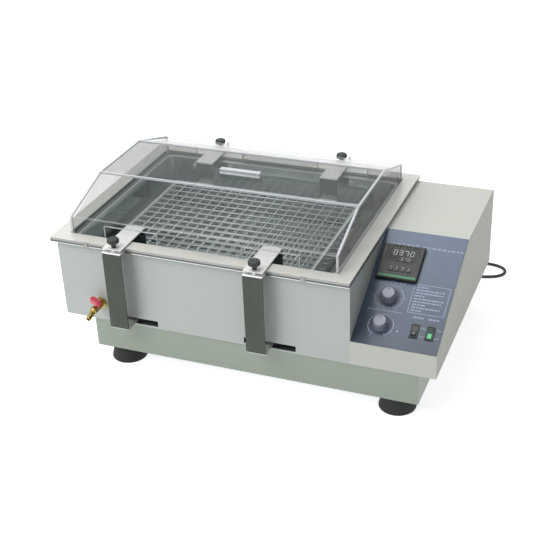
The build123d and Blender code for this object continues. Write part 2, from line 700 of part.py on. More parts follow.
def switch_bodies():
    """Two switch bodies, each with a bezel and a well for its rocker."""
    width, height, depth = SWITCH_BODY
    bodies = []
    for u in SWITCH_U:
        body = panel_box(centred(u, width), centred(SWITCH_V, height), (-depth, PANEL_THICKNESS))
        body += panel_box(
            centred(u, SWITCH_BEZEL[0]),
            centred(SWITCH_V, SWITCH_BEZEL[1]),
            (PANEL_THICKNESS, PANEL_THICKNESS + SWITCH_PROUD),
        )
        well = 2 * (ROCKER_RADIUS + ROCKER_GAP)
        body -= panel_box(
            centred(u, ROCKER_WIDTH + 2 * ROCKER_GAP),
            centred(SWITCH_V, well),
            (-SWITCH_WELL_DEPTH, PANEL_THICKNESS + SWITCH_PROUD),
        )
        bodies.append(body)
    return bodies


def rocker(u, side):
    """Rocker at rest on one side: a slice of a drum with two shallow faces."""
    drum_part = Rot(0, 90, 0) * Cylinder(ROCKER_RADIUS, ROCKER_WIDTH)
    crest = ROCKER_CREST + ROCKER_PIVOT_DEPTH
    reach = 2 * ROCKER_RADIUS
    rise = reach * math.tan(math.radians(ROCKER_TILT))
    corners = [(-reach, -4), (-reach, crest + rise), (0, crest), (reach, crest + rise), (reach, -4)]
    profile = Polyline(*corners, close=True)
    wedge = extrude(make_face(Plane.YZ * profile), ROCKER_WIDTH / 2, both=True)
    tilted = Rot(side * ROCKER_TILT, 0, 0) * (drum_part & wedge)
    return on_panel(u, SWITCH_V, PANEL_THICKNESS - ROCKER_PIVOT_DEPTH, tilted)


def rear_cover():
    """Plate behind the control housing, with louvres, a cord hole and a fuse hole."""
    x = (HOUSING_X[0] + SHEET, HOUSING_X[1] - SHEET)
    y = (CASING_Y[1] - SHEET, CASING_Y[1])
    plate = box(x, y, (DECK_TOP, HOUSING_TOP - SHEET))
    slot = extrude(SlotOverall(*LOUVRE_SIZE), 4 * SHEET, both=True)
    louvre_base = GLAND_HEIGHT + LOUVRES_ABOVE_GLAND
    for index in range(LOUVRE_COUNT):
        z = louvre_base + index * LOUVRE_PITCH
        plate -= Pos((x[0] + x[1]) / 2, y[1], z) * Rot(90, 0, 0) * slot
    gland_hole = GLAND_HOLE_RADIUS + SCREW_HOLE_CLEARANCE
    plate -= bar_y(gland_x(), centred(y[1], 6 * SHEET), GLAND_HEIGHT, gland_hole)
    plate -= bar_y(fuse_x(), centred(y[1], 6 * SHEET), GLAND_HEIGHT, FUSE_RADIUS)
    for px, pz in rear_screw_places():
        plate -= bar_y(px, centred(y[1], 6 * SHEET), pz, SCREW_RADIUS + SCREW_HOLE_CLEARANCE)
    return plate


def gland_x():
    """X of the cord's gland."""
    return HOUSING_X[1] - GLAND_FROM_RIGHT


def fuse_x():
    """X of the fuse holder, beside the gland."""
    return gland_x() - FUSE_FROM_GLAND


def rear_screw_places():
    """X and Z of the four screws of the rear cover."""
    xs = inset(HOUSING_X, REAR_SCREW_INSET)
    zs = (DECK_TOP + REAR_SCREW_LIFT, HOUSING_TOP - REAR_SCREW_INSET)
    return [(x, z) for x in xs for z in zs]


def machine_screws():
    """Identical screws of the feet, the gear motor and the rear cover."""
    screw = pan_screw(SCREW_LENGTH)
    well = FOOT_HEIGHT - (SCREW_LENGTH - 3 * SHEET)
    feet = [Pos(x, y, well) * Rot(180, 0, 0) * screw for x, y in foot_places()]
    motor = [Pos(x, y, DECK_TOP) * screw for x, y in motor_screw_places()]
    rear = [Pos(x, CASING_Y[1], z) * Rot(-90, 0, 0) * screw for x, z in rear_screw_places()]
    return feet + motor + rear


def fuse_holder():
    """Round fuse holder with a knurl-sized cap, through the rear cover."""
    y = CASING_Y[1]
    body = bar_y(fuse_x(), (y - FUSE_DEPTH, y), GLAND_HEIGHT, FUSE_RADIUS)
    cap = bar_y(fuse_x(), (y, y + FUSE_PROUD), GLAND_HEIGHT, FUSE_RADIUS + FUSE_CAP_OVERHANG)
    return body + fillet(cap.edges().group_by(Axis.Y)[-1], 1.0)


def control_board():
    """Circuit board on the deck behind the controller, with its parts."""
    x = inset(HOUSING_X, BOARD_INSET_X)
    y = BOARD_Y
    z = DECK_TOP + BOARD_LIFT
    board = box(x, y, (z, z + BOARD_THICKNESS))
    for px in inset(x, 2 * BOARD_POST_RADIUS):
        for py in inset(y, 2 * BOARD_POST_RADIUS):
            board += drum(px, py, (DECK_TOP, z), BOARD_POST_RADIUS)
    for (dx, dy), (width, depth, height) in (RELAY, HEAT_SINK):
        board += box((x[0] + dx, x[0] + dx + width), (y[0] + dy, y[0] + dy + depth), (z, z + height))
    for index in range(CAPACITOR_COUNT):
        place = (x[1] - CAPACITOR_INSET[0], y[0] + CAPACITOR_INSET[1] + index * CAPACITOR_HEIGHT)
        board += drum(*place, (z, z + CAPACITOR_HEIGHT), CAPACITOR_RADIUS)
    return board


def transformer():
    """Mains transformer on the deck in front of the board."""
    x = centred((HOUSING_X[0] + HOUSING_X[1]) / 2 + TRANSFORMER_SHIFT, TRANSFORMER_WIDTH)
    core = box(x, TRANSFORMER_Y, (DECK_TOP, DECK_TOP + TRANSFORMER_HEIGHT))
    winding_z = inset((DECK_TOP, DECK_TOP + TRANSFORMER_HEIGHT), WINDING_DEEPER)
    winding = box(inset(x, WINDING_INSET), inset(TRANSFORMER_Y, -WINDING_OVERHANG), winding_z)
    return core + winding


def heater_element():
    """Heating tube bent into one long loop over the tank's floor."""
    z = TANK_FLOOR + HEATER_LIFT
    start = RIM_WIDTH - TANK_INSET + TUBE_STUB
    far = TANK_INSET + HEATER_END_GAP
    near_y, far_y = MID_Y - HEATER_SPREAD / 2, MID_Y + HEATER_SPREAD / 2
    corners = [(start, near_y, z), (far, near_y, z), (far, far_y, z), (start, far_y, z)]
    path = FilletPolyline(*corners, radius=HEATER_BEND_RADIUS)
    return sweep(Plane(origin=corners[0], z_dir=(-1, 0, 0)) * Circle(HEATER_TUBE_RADIUS), path)


def temperature_probe():
    """Slim probe tube along the tank's front wall, under the rack's level."""
    y, z, radius = tube_places()[2]
    wall = RIM_WIDTH - TANK_INSET
    probe = bar_x((wall - PROBE_LENGTH, wall + TUBE_STUB), y, z, radius)
    return fillet(probe.edges().group_by(Axis.X)[0], PROBE_TIP_ROUNDING)


def gland_nuts():
    """Nuts that hold the heater's two legs and the probe in the tank's wall."""
    nuts = []
    for y, z, radius in tube_places():
        nut = hexagon(GLAND_ACROSS_FLATS, GLAND_THICKNESS)
        nut -= Cylinder(radius + SCREW_HOLE_CLEARANCE, 4 * GLAND_THICKNESS)
        nuts.append(Pos(RIM_WIDTH - TANK_INSET + SHEET, y, z) * Rot(0, 90, 0) * nut)
    return nuts


def drain_pipe():
    """Elbow from the tank's floor to the front of the casing."""
    y0 = CASING_Y[0]
    top = TANK_FLOOR
    bend, outlet = (DRAIN_X, drain_y(), DRAIN_Z), (DRAIN_X, y0 - DRAIN_NUT_THICKNESS, DRAIN_Z)
    corners = [(DRAIN_X, drain_y(), top), bend, outlet]
    path = FilletPolyline(*corners, radius=DRAIN_BEND_RADIUS)
    wall = Circle(DRAIN_PIPE_RADIUS) - Circle(DRAIN_PIPE_RADIUS - DRAIN_PIPE_WALL)
    return sweep(Plane(origin=corners[0], z_dir=(0, 0, -1)) * wall, path)


def drain_nut():
    """Nut that holds the drain against the casing."""
    nut = hexagon(DRAIN_NUT_ACROSS_FLATS, DRAIN_NUT_THICKNESS)
    nut -= Cylinder(DRAIN_PIPE_RADIUS + SCREW_HOLE_CLEARANCE, 4 * DRAIN_NUT_THICKNESS)
    return Pos(DRAIN_X, CASING_Y[0], DRAIN_Z) * Rot(90, 0, 0) * nut


def drain_valve():
    """Brass valve body with a neck for the lever and a hose nozzle that slopes down a little."""
    front = CASING_Y[0] - DRAIN_NUT_THICKNESS
    end = CASING_Y[0] - VALVE_LENGTH
    body = bar_y(DRAIN_X, (end, front), DRAIN_Z, VALVE_RADIUS)
    body += Pos(DRAIN_X, end, DRAIN_Z) * Sphere(VALVE_RADIUS)
    aim = Pos(DRAIN_X, end, DRAIN_Z) * Rot(90 + NOZZLE_DROP_ANGLE, 0, 0)
    body += aim * Pos(0, 0, NOZZLE_LENGTH / 2) * Cylinder(NOZZLE_RADIUS, NOZZLE_LENGTH)
    neck = (DRAIN_Z + VALVE_RADIUS / 2, DRAIN_Z + VALVE_RADIUS + VALVE_NECK_HEIGHT)
    body += drum(DRAIN_X, lever_y(), neck, VALVE_STEM_RADIUS + 2)
    body -= drum(DRAIN_X, lever_y(), (DRAIN_Z + 2, neck[1]), VALVE_STEM_RADIUS + RUNNING_CLEARANCE)
    body -= aim * Pos(0, 0, NOZZLE_LENGTH / 2 + 4) * Cylinder(NOZZLE_BORE, NOZZLE_LENGTH)
    return body


def lever_y():
    """Y of the drain lever's upright axis."""
    return CASING_Y[0] - DRAIN_NUT_THICKNESS - LEVER_FROM_NUT


def drain_lever():
    """Wing lever on its stem, at rest a third of its way open."""
    base = DRAIN_Z + VALVE_RADIUS + VALVE_NECK_HEIGHT + LEVER_LIFT
    wing = extrude(SlotOverall(LEVER_LENGTH, LEVER_WIDTH), LEVER_HEIGHT)
    wing = fillet(wing.edges().group_by(Axis.Z)[-1], LEVER_ROUNDING)
    wing = Pos(DRAIN_X, lever_y(), base) * Rot(0, 0, LEVER_REST_ANGLE) * wing
    return wing + drum(DRAIN_X, lever_y(), (DRAIN_Z + 3, base + LEVER_HEIGHT / 2), VALVE_STEM_RADIUS)


def rim_clips():
    """Bright clips that hook the rim's band to the casing."""
    clips = []
    for x in CLIP_X:
        tab = box(centred(x, CLIP_WIDTH), (-CLIP_THICKNESS, 0), (CASING_TOP - CLIP_THICKNESS, RIM_TOP - 1))
        hook_z = (CASING_TOP - CLIP_THICKNESS, RIM_TOP - RIM_BAND)
        clip = tab + box(centred(x, CLIP_WIDTH), (-CLIP_THICKNESS, CASING_Y[0]), hook_z)
        clips += [clip, mirror_back(clip)]
    return clips


def clamp_straps():
    """Four flat straps: top flange, long face down the casing and a foot through the slot."""
    face_y = -STRAP_STANDOFF
    straps = []
    for x in STRAP_X:
        width = centred(x, STRAP_WIDTH)
        strap = box(width, (face_y, face_y + STRAP_THICKNESS), (FOOT_PLATE_Z, FLANGE_TOP))
        strap += box(width, (face_y, face_y + STRAP_FLANGE), (FLANGE_TOP - STRAP_THICKNESS, FLANGE_TOP))
        strap += box(width, (face_y, face_y + STRAP_FOOT_LENGTH), (FOOT_PLATE_Z, CHANNEL_Z))
        bends = strap.edges().filter_by(Axis.X).filter_by(
            lambda edge: abs(edge.center().Y - face_y) < 0.1
        )
        strap = fillet(bends, STRAP_BEND_RADIUS)
        strap -= drum(x, knob_y(), (FLANGE_TOP - 2 * STRAP_THICKNESS, FLANGE_TOP + 1), stem_hole())
        for y in foot_screw_ys():
            strap -= drum(x, y, (FOOT_PLATE_Z - 1, CHANNEL_Z + 1), SCREW_RADIUS + SCREW_HOLE_CLEARANCE)
        straps += [strap, mirror_back(strap)]
    return straps


def stem_hole():
    """Radius of the holes that a clamp knob's stem runs in."""
    return KNOB_STEM_RADIUS + RUNNING_CLEARANCE


def knob_y():
    """Y of the front clamp knobs' axes."""
    return KNOB_FROM_STRAP_FACE - STRAP_STANDOFF


def foot_screw_ys():
    """Y of the two screws through each front strap's foot."""
    inner = STRAP_FOOT_LENGTH - STRAP_STANDOFF
    return [inner - setback for setback in FOOT_SCREW_SETBACKS]


def rack_hangers():
    """Four hangers welded to the rack: a plate over the rim, a leg into the tank and a foot.

    The rear pair has an upturned ear at the right edge.
    """
    hangers = []
    plate_z = (HANGER_Z, HANGER_Z + STRAP_THICKNESS)
    front = HANGER_SETBACK - STRAP_STANDOFF
    leg_y = (HANGER_REACH - STRAP_THICKNESS, HANGER_REACH)
    for x in STRAP_X:
        width = centred(x, STRAP_WIDTH)
        hanger = box(width, (front, HANGER_REACH), plate_z)
        hanger += box(width, leg_y, (RACK_TOP, plate_z[1]))
        foot_z = (RACK_TOP, RACK_TOP + STRAP_THICKNESS)
        hanger += box(width, (leg_y[0], leg_y[0] + HANGER_FOOT), foot_z)
        hanger -= drum(x, knob_y(), inset(plate_z, -1), stem_hole())
        back = mirror_back(hanger)
        ear_x = (width[1] - STRAP_THICKNESS, width[1])
        back += box(ear_x, centred(RIM_DEPTH - knob_y(), EAR_WIDTH), (plate_z[0], plate_z[1] + EAR_HEIGHT))
        hangers += [hanger, back]
    return hangers


def clamp_spacers():
    """Hexagonal spacers between the straps' flanges and the hangers."""
    spacer = hexagon(SPACER_ACROSS_FLATS, HANGER_Z - FLANGE_TOP)
    spacer -= Cylinder(stem_hole(), 2 * SPACER_ACROSS_FLATS)
    places = [(x, y) for x in STRAP_X for y in (knob_y(), RIM_DEPTH - knob_y())]
    return [Pos(x, y, FLANGE_TOP) * spacer for x, y in places]


def clamp_knob(x, y):
    """Fluted knob with its collar and threaded stem."""
    base = HANGER_Z + STRAP_THICKNESS
    head_z = base + KNOB_COLLAR_HEIGHT
    head = drum(x, y, (head_z, head_z + KNOB_HEIGHT), KNOB_RADIUS)
    head = fillet(head.edges().group_by(Axis.Z)[-1], KNOB_HEIGHT / 3)
    head = fillet(head.edges().group_by(Axis.Z)[0], KNOB_LOWER_ROUNDING)
    flute_reach = KNOB_RADIUS + KNOB_FLUTE_RADIUS - KNOB_FLUTE_DEPTH
    for index in range(KNOB_FLUTES):
        angle = 2 * math.pi * index / KNOB_FLUTES
        flute_x, flute_y = x + flute_reach * math.cos(angle), y + flute_reach * math.sin(angle)
        head -= drum(flute_x, flute_y, (head_z - 1, head_z + KNOB_HEIGHT + 1), KNOB_FLUTE_RADIUS)
    collar = drum(x, y, (base + LID_SEAT_GAP, head_z), KNOB_COLLAR_RADIUS)
    stem = drum(x, y, (FLANGE_TOP - STRAP_THICKNESS - STEM_BELOW_FLANGE, head_z), KNOB_STEM_RADIUS)
    return head + collar + stem


def carriage_frame():
    """Two cross channels joined by tie bars, with the tongue and pin for the connecting rod."""
    y = inset((0, RIM_DEPTH), CHANNEL_END_GAP)
    web_z = (CHANNEL_Z, CHANNEL_Z + STRAP_THICKNESS)
    frame = None
    for x in STRAP_X:
        width = centred(x, STRAP_WIDTH)
        channel = box(width, y, (CHANNEL_Z, CHANNEL_Z + CHANNEL_HEIGHT))
        channel -= box(inset(width, STRAP_THICKNESS), y, (web_z[1], CHANNEL_Z + CHANNEL_HEIGHT))
        for shaft_y in SHAFT_Y:
            channel -= bar_x(inset(width, -1), shaft_y, SHAFT_Z, BUSH_RADIUS)
        frame = channel if frame is None else frame + channel
    inner = (STRAP_X[0] + STRAP_WIDTH / 2, STRAP_X[1] - STRAP_WIDTH / 2)
    for side in (-1, 1):
        frame += box(inner, centred(MID_Y + side * TIE_OFFSET, TIE_WIDTH), web_z)
    tongue = box((CHANNEL_FACE_X - ROD_TONGUE, CHANNEL_FACE_X), centred(MID_Y, ROD_TONGUE), web_z)
    frame += tongue
    frame += drum(ROD_PIN_X, MID_Y, (web_z[0], ROD_Z - LID_SEAT_GAP), ROD_PIN_SHOULDER)
    frame += drum(ROD_PIN_X, MID_Y, (web_z[0], ROD_Z + ROD_THICKNESS + 2), ROD_PIN_RADIUS)
    for x in STRAP_X:
        for front_y in foot_screw_ys():
            for screw_y in (front_y, RIM_DEPTH - front_y):
                frame -= drum(x, screw_y, inset(web_z, -1), SCREW_RADIUS + SCREW_HOLE_CLEARANCE)
    return frame


def carriage_bushes():
    """Bushes through the channels, running on the guide shafts."""
    bushes = []
    for x in STRAP_X:
        for y in SHAFT_Y:
            span = centred(x, BUSH_LENGTH)
            bushes.append(
                bar_x(span, y, SHAFT_Z, BUSH_RADIUS) - bar_x(span, y, SHAFT_Z, SHAFT_RADIUS + RUNNING_CLEARANCE)
            )
    return bushes


def guide_shafts():
    """Two ground shafts along the shaker's stroke."""
    return [bar_x((SHAFT_START, SHAFT_END), y, SHAFT_Z, SHAFT_RADIUS) for y in SHAFT_Y]


def shaft_supports():
    """Four blocks that hold the guide shafts' ends above the deck."""
    blocks = []
    support_z = (DECK_TOP, DECK_TOP + SUPPORT_HEIGHT)
    for x in inset((SHAFT_START, SHAFT_END), SHAFT_OVERHANG + SUPPORT_LENGTH / 2):
        for y in SHAFT_Y:
            block = box(centred(x, SUPPORT_LENGTH), centred(y, SUPPORT_WIDTH), support_z)
            block = chamfer(block.edges().filter_by(Axis.X).group_by(Axis.Z)[-1], SUPPORT_CHAMFER)
            bore = bar_x(centred(x, 2 * SUPPORT_WIDTH), y, SHAFT_Z, SHAFT_RADIUS + SCREW_HOLE_CLEARANCE)
            blocks.append(block - bore)
    return blocks


def carriage_screws():
    """Two short screws through each strap's foot."""
    screws = []
    short = pan_screw(SHORT_SCREW_LENGTH)
    for x in STRAP_X:
        for y in foot_screw_ys():
            for place in (y, RIM_DEPTH - y):
                screws.append(Pos(x, place, CHANNEL_Z + STRAP_THICKNESS) * short)
    return screws


def ring_of_bars(z):
    """Rectangular ring of square bar at one level of the rack."""
    return wall_ring(RACK_X, RACK_Y, z, RACK_BAR)


def rack_frame():
    """Welded rack: an upper and a lower ring joined by posts."""
    frame = ring_of_bars((RACK_TOP - RACK_BAR, RACK_TOP))
    frame += ring_of_bars((RACK_BOTTOM, RACK_BOTTOM + RACK_BAR))
    post_z = (RACK_BOTTOM, RACK_TOP)
    for x in (RACK_X[0] + RACK_BAR / 2, RACK_X[1] - RACK_BAR / 2):
        for y in (RACK_Y[0] + RACK_BAR / 2, RACK_Y[1] - RACK_BAR / 2):
            frame += box(centred(x, RACK_BAR), centred(y, RACK_BAR), post_z)
    return frame


def mesh(z, cells):
    """Flat welded mesh inside a ring of the rack, as one holed face given thickness."""
    x, y = inset(RACK_X, RACK_BAR), inset(RACK_Y, RACK_BAR)
    width, depth = x[1] - x[0], y[1] - y[0]
    pitch_x = (width - MESH_WIRE) / cells[0]
    pitch_y = (depth - MESH_WIRE) / cells[1]
    gaps = GridLocations(pitch_x, pitch_y, *cells) * Rectangle(pitch_x - MESH_WIRE, pitch_y - MESH_WIRE)
    sheet = Rectangle(width, depth) - gaps
    return Pos((x[0] + x[1]) / 2, (y[0] + y[1]) / 2, z) * extrude(sheet, MESH_THICKNESS)


def crank_wheel():
    """Crank wheel with its pin, on the gear motor's shaft."""
    top = CRANK_WHEEL_Z + CRANK_WHEEL_THICKNESS
    wheel = drum(CRANK_X, MID_Y, (CRANK_WHEEL_Z, top), CRANK_WHEEL_RADIUS)
    wheel = chamfer(wheel.edges(), CRANK_WHEEL_CHAMFER)
    wheel += drum(CRANK_X - CRANK_RADIUS, MID_Y, (CRANK_WHEEL_Z, CRANK_PIN_TOP), CRANK_PIN_RADIUS)
    return wheel + drum(CRANK_X, MID_Y, (PLINTH_TOP - MOTOR_SHAFT_LENGTH + 2, top), MOTOR_SHAFT_RADIUS)


def connecting_rod():
    """Flat rod with an eye at each end, above the crank pin and on the carriage's pin."""
    crank_pin_x = CRANK_X - CRANK_RADIUS
    z = (ROD_Z, ROD_Z + ROD_THICKNESS)
    rod = box((crank_pin_x, ROD_PIN_X), centred(MID_Y, ROD_WIDTH), z)
    for x in (crank_pin_x, ROD_PIN_X):
        rod += drum(x, MID_Y, z, ROD_EYE_RADIUS)
    rod -= drum(crank_pin_x, MID_Y, inset(z, -1), CRANK_PIN_RADIUS + RUNNING_CLEARANCE)
    return rod - drum(ROD_PIN_X, MID_Y, inset(z, -1), ROD_PIN_RADIUS + RUNNING_CLEARANCE)


def drive_motor():
    """Gear motor hung under the deck, bored for the crank's shaft."""
    gearbox_z = (PLINTH_TOP - GEARBOX_HEIGHT, PLINTH_TOP)
    motor = drum(CRANK_X, MID_Y, gearbox_z, GEARBOX_RADIUS)
    motor += drum(CRANK_X, MID_Y, (gearbox_z[0] - MOTOR_HEIGHT, gearbox_z[0]), MOTOR_RADIUS)
    bore_z = (PLINTH_TOP - MOTOR_SHAFT_LENGTH + 1, PLINTH_TOP)
    motor -= drum(CRANK_X, MID_Y, bore_z, MOTOR_SHAFT_RADIUS + RUNNING_CLEARANCE)
    for x, y in motor_screw_places():
        hole = (DECK_TOP - SCREW_LENGTH - 0.5, PLINTH_TOP)
        motor -= drum(x, y, hole, SCREW_RADIUS + SCREW_HOLE_CLEARANCE)
    return motor


def lid_prism(gap, x):
    """Side outline of the lid, drawn in by a gap, over a span of X."""
    lower_drop, crest_shift = mitres(gap, LID_RISE - LID_LIP, (RIM_DEPTH - LID_FLAT) / 2 - LID_INSET)
    base, lip, top = LEDGE_Z + LID_SEAT_GAP, RIM_TOP + LID_LIP - lower_drop, RIM_TOP + LID_RISE - gap
    y0, y1 = inset((0, RIM_DEPTH), LID_INSET + gap)
    crest = LID_FLAT / 2 - crest_shift
    points = [(y0, base), (y0, lip), (MID_Y - crest, top), (MID_Y + crest, top), (y1, lip), (y1, base)]
    return side_prism(points, x)


def lid_cover():
    """Clear cover with sloping front and back and four notches for the hangers."""
    x = inset((0, RIM_WIDTH), LID_INSET)
    cover = lid_prism(0, x) - lid_prism(LID_WALL, inset(x, LID_WALL))
    for x in SLOT_X:
        for y in (LID_INSET + LID_WALL / 2, RIM_DEPTH - LID_INSET - LID_WALL / 2):
            cover -= box(centred(x, NOTCH_WIDTH), centred(y, 3 * LID_WALL), (LEDGE_Z, RIM_TOP + NOTCH_TOP))
    return cover


def lid_handle():
    """Clear bar with a narrower neck for the fingers, glued to the lid's flat top."""
    base = RIM_TOP + LID_RISE
    half, neck = HANDLE_WIDTH / 2, HANDLE_NECK / 2
    bends = [HANDLE_FLANGE, HANDLE_FLANGE + HANDLE_TAPER]
    rising = [(half, 0), (half, bends[0]), (neck, bends[1])]
    rising += [(y, HANDLE_HEIGHT - z) for y, z in reversed(rising)]
    falling = [(-y, z) for y, z in reversed(rising)]
    face = make_face(Plane.YZ * Polyline(*rising, *falling, close=True))
    bar = extrude(face, HANDLE_LENGTH / 2, both=True)
    return Pos(RIM_WIDTH / 2 + HANDLE_SHIFT[0], MID_Y + HANDLE_SHIFT[1], base) * bar


def cord_gland():
    """Strain relief through the rear cover, tapering along the cord."""
    y = CASING_Y[1]
    inner_end = y - SHEET - GLAND_NUT_DEPTH
    gland = bar_y(gland_x(), (inner_end, y), GLAND_HEIGHT, GLAND_HOLE_RADIUS)
    gland += bar_y(gland_x(), (inner_end, y - SHEET), GLAND_HEIGHT, GLAND_RADIUS)
    gland += bar_y(gland_x(), (y, y + GLAND_FLANGE), GLAND_HEIGHT, GLAND_RADIUS + GLAND_FLANGE_OVERHANG)
    taper = Rot(-90, 0, 0) * Cone(GLAND_RADIUS - 1, GLAND_TIP_RADIUS, GLAND_LENGTH - GLAND_FLANGE)
    return gland + Pos(gland_x(), y + (GLAND_FLANGE + GLAND_LENGTH) / 2, GLAND_HEIGHT) * taper


# Route of the cord from the strain relief: a fall to the table, then a loop out to the right
CORD_REST = CORD_RADIUS + 0.1
COIL_LAYER_Z = (CORD_RADIUS + TIE_BAND + 2 * TIE_GAP, 3 * CORD_RADIUS + TIE_BAND + 2 * TIE_GAP + COIL_GAP)
COIL_PITCH = 2 * CORD_RADIUS + COIL_GAP
COIL_OUTER_RADIUS = COIL_INNER_RADIUS + COIL_PITCH * (COIL_TURNS_PER_LAYER + QUARTER_TURN)
COIL_ENTRY = (COIL_CENTRE[0] + 2 * CORD_RADIUS, COIL_CENTRE[1] + COIL_OUTER_RADIUS, COIL_LAYER_Z[0])
CORD_ROUTE = [
    (gland_x(), CASING_Y[1] + GLAND_LENGTH, GLAND_HEIGHT),
    (gland_x(), CASING_Y[1] + GLAND_LENGTH + 18, GLAND_HEIGHT),
    (634.5, 492, 98),
    (635.5, 500, 73),
    (637, 504, 46),
    (640, 508, 20),
    (652, 515, 6),
    (672, 523, CORD_REST),
    (694, 531, CORD_REST),
    (707, 546, CORD_REST),
    (705.5, 564, CORD_REST),
    (692, 576, CORD_REST),
    (667, 580.5, CORD_REST),
    (633, 582, CORD_REST),
    (598, 579.5, CORD_REST),
    (COIL_ENTRY[0] + 34, COIL_ENTRY[1], COIL_ENTRY[2]),
    COIL_ENTRY,
]


def corner_radii(route):
    """Radius of each bend: as large as its two runs allow."""
    radii = []
    for before, corner, after in zip(route, route[1:], route[2:]):
        run_in, run_out = Vector(*corner) - Vector(*before), Vector(*after) - Vector(*corner)
        half_turn = math.radians(run_in.get_angle(run_out)) / 2
        radii.append(CORD_BEND_SHARE * min(run_in.length, run_out.length) / math.tan(half_turn))
    return radii


def cord_volume(path):
    """Volume that a cord along a path should have."""
    return path.length * math.pi * CORD_RADIUS**2


def power_cord():
    """Round cord along its route as far as the coil."""
    radii = corner_radii(CORD_ROUTE)
    print("cord bend radii", [round(radius, 1) for radius in radii])
    path = FilletPolyline(*CORD_ROUTE, radius=radii)
    start = Plane(origin=CORD_ROUTE[0], z_dir=(0, 1, 0))
    tube = sweep(start * Circle(CORD_RADIUS), path)
    print("cord length", round(path.length), "volume ratio", tube.volume / cord_volume(path))
    return tube


def coil_point(turns):
    """Point of the coil's centre line after a number of turns from its outer end."""
    layer_end = COIL_TURNS_PER_LAYER
    climbed = min(max((turns - layer_end) / (2 * QUARTER_TURN), 0.0), 1.0)
    radius = COIL_INNER_RADIUS + COIL_PITCH * abs(turns - layer_end - QUARTER_TURN)
    angle = math.radians(90 + 360 * turns)
    lift = COIL_LAYER_Z[0] + (COIL_LAYER_Z[1] - COIL_LAYER_Z[0]) * climbed
    return Vector(
        COIL_CENTRE[0] + radius * math.cos(angle), COIL_CENTRE[1] + radius * math.sin(angle), lift
    )


def biarc(start, end, leave, arrive):
    """Two arcs that join two points with the given directions."""
    chord = end - start
    spread = 1 - leave.dot(arrive)
    along = chord.dot(leave + arrive)
    reach = (math.sqrt(along**2 + 2 * spread * chord.dot(chord)) - along) / (2 * spread)
    middle = (start + end + (leave - arrive) * reach) * 0.5
    first = TangentArc(start, middle, tangent=leave)
    return [first, TangentArc(middle, end, tangent=first % 1)]


def cord_coil():
    """Put-away cord in a two-layer coil that winds in, climbs and winds out again."""
    total = 2 * (COIL_TURNS_PER_LAYER + QUARTER_TURN)
    stops = [QUARTER_TURN * index for index in range(round(total / QUARTER_TURN) + 1)]
    nudge = 0.02
    points = [coil_point(turns) for turns in stops]
    directions = [(coil_point(turns + nudge) - coil_point(turns - nudge)).normalized() for turns in stops]
    directions[0], directions[-1] = Vector(-1, 0, 0), Vector(1, 0, 0)
    arcs = []
    for index in range(len(stops) - 1):
        arcs += biarc(points[index], points[index + 1], directions[index], directions[index + 1])
    tail_end = points[-1] + Vector(COIL_TAIL, 0, 0)
    path = Wire([Line(COIL_ENTRY, points[0])] + arcs + [Line(points[-1], tail_end)])
    tube = sweep(Plane(origin=COIL_ENTRY, z_dir=(-1, 0, 0)) * Circle(CORD_RADIUS), path)
    print("coil length", round(path.length), "volume ratio", tube.volume / cord_volume(path))
    print("coil least gap", round(least_gap(path), 2))
    return tube


def least_gap(path):
    """Least distance between the surfaces of different turns, measured on points."""
    count = 700
    samples = [path @ (index / count) for index in range(count + 1)]
    skip = round(count * 4 * CORD_RADIUS * math.pi / path.length)
    return min(
        (samples[first] - samples[second]).length - 2 * CORD_RADIUS
        for first in range(count + 1)
        for second in range(first + skip, count + 1)
    )


def cord_tie():
    """Band round the coil's turns, on its left."""
    inner = COIL_INNER_RADIUS + COIL_PITCH / 2 - CORD_RADIUS - 3 * TIE_GAP - TIE_BAND
    outer = COIL_OUTER_RADIUS - COIL_PITCH / 4 + CORD_RADIUS + TIE_GAP + TIE_BAND
    top = COIL_LAYER_Z[1] + CORD_RADIUS + TIE_GAP + TIE_BAND
    x = (COIL_CENTRE[0] - outer, COIL_CENTRE[0] - inner)
    y = centred(COIL_CENTRE[1], TIE_BAND_WIDTH)
    band = box(x, y, (TIE_GAP, top))
    band = fillet(band.edges().filter_by(Axis.Y), TIE_BEND_RADIUS)
    hollow = box(inset(x, TIE_BAND), y, (TIE_GAP + TIE_BAND, top - TIE_BAND))
    return band - fillet(hollow.edges().filter_by(Axis.Y), TIE_BEND_RADIUS - 1)


def mains_plug():
    """Moulded three-pin plug lying beside the coil, with a ribbed neck."""
    x = COIL_CENTRE[0] + COIL_TAIL
    y, z = COIL_CENTRE[1] - COIL_OUTER_RADIUS, COIL_LAYER_Z[1]
    length, width, height = PLUG_BODY
    neck = Rot(0, 90, 0) * Cone(GLAND_TIP_RADIUS, PLUG_NECK_END_RADIUS, PLUG_NECK_LENGTH)
    neck = Pos(x + PLUG_NECK_LENGTH / 2, y, z) * neck
    body_x = (x + PLUG_NECK_LENGTH, x + PLUG_NECK_LENGTH + length)
    body = box(body_x, centred(y, width), centred(z, height))
    body = fillet(body.edges().filter_by(Axis.X), PLUG_ROUNDING)
    body = chamfer(body.faces().sort_by(Axis.X)[0].edges(), PLUG_CHAMFER)
    blade_length, blade_thickness, blade_height = PLUG_BLADE
    blade_x = (body_x[1], body_x[1] + blade_length)
    pins = []
    for side in (-1, 1):
        blade_z = centred(z + side * PLUG_BLADE_SPACING / 2, blade_thickness)
        pins.append(box(blade_x, centred(y + PLUG_EARTH_OFFSET / 3, blade_height), blade_z))
    earth_y = y + PLUG_EARTH_OFFSET / 3 - PLUG_EARTH_OFFSET
    pins.append(bar_x(blade_x, earth_y, z, PLUG_EARTH_RADIUS))
    return [body + neck] + pins


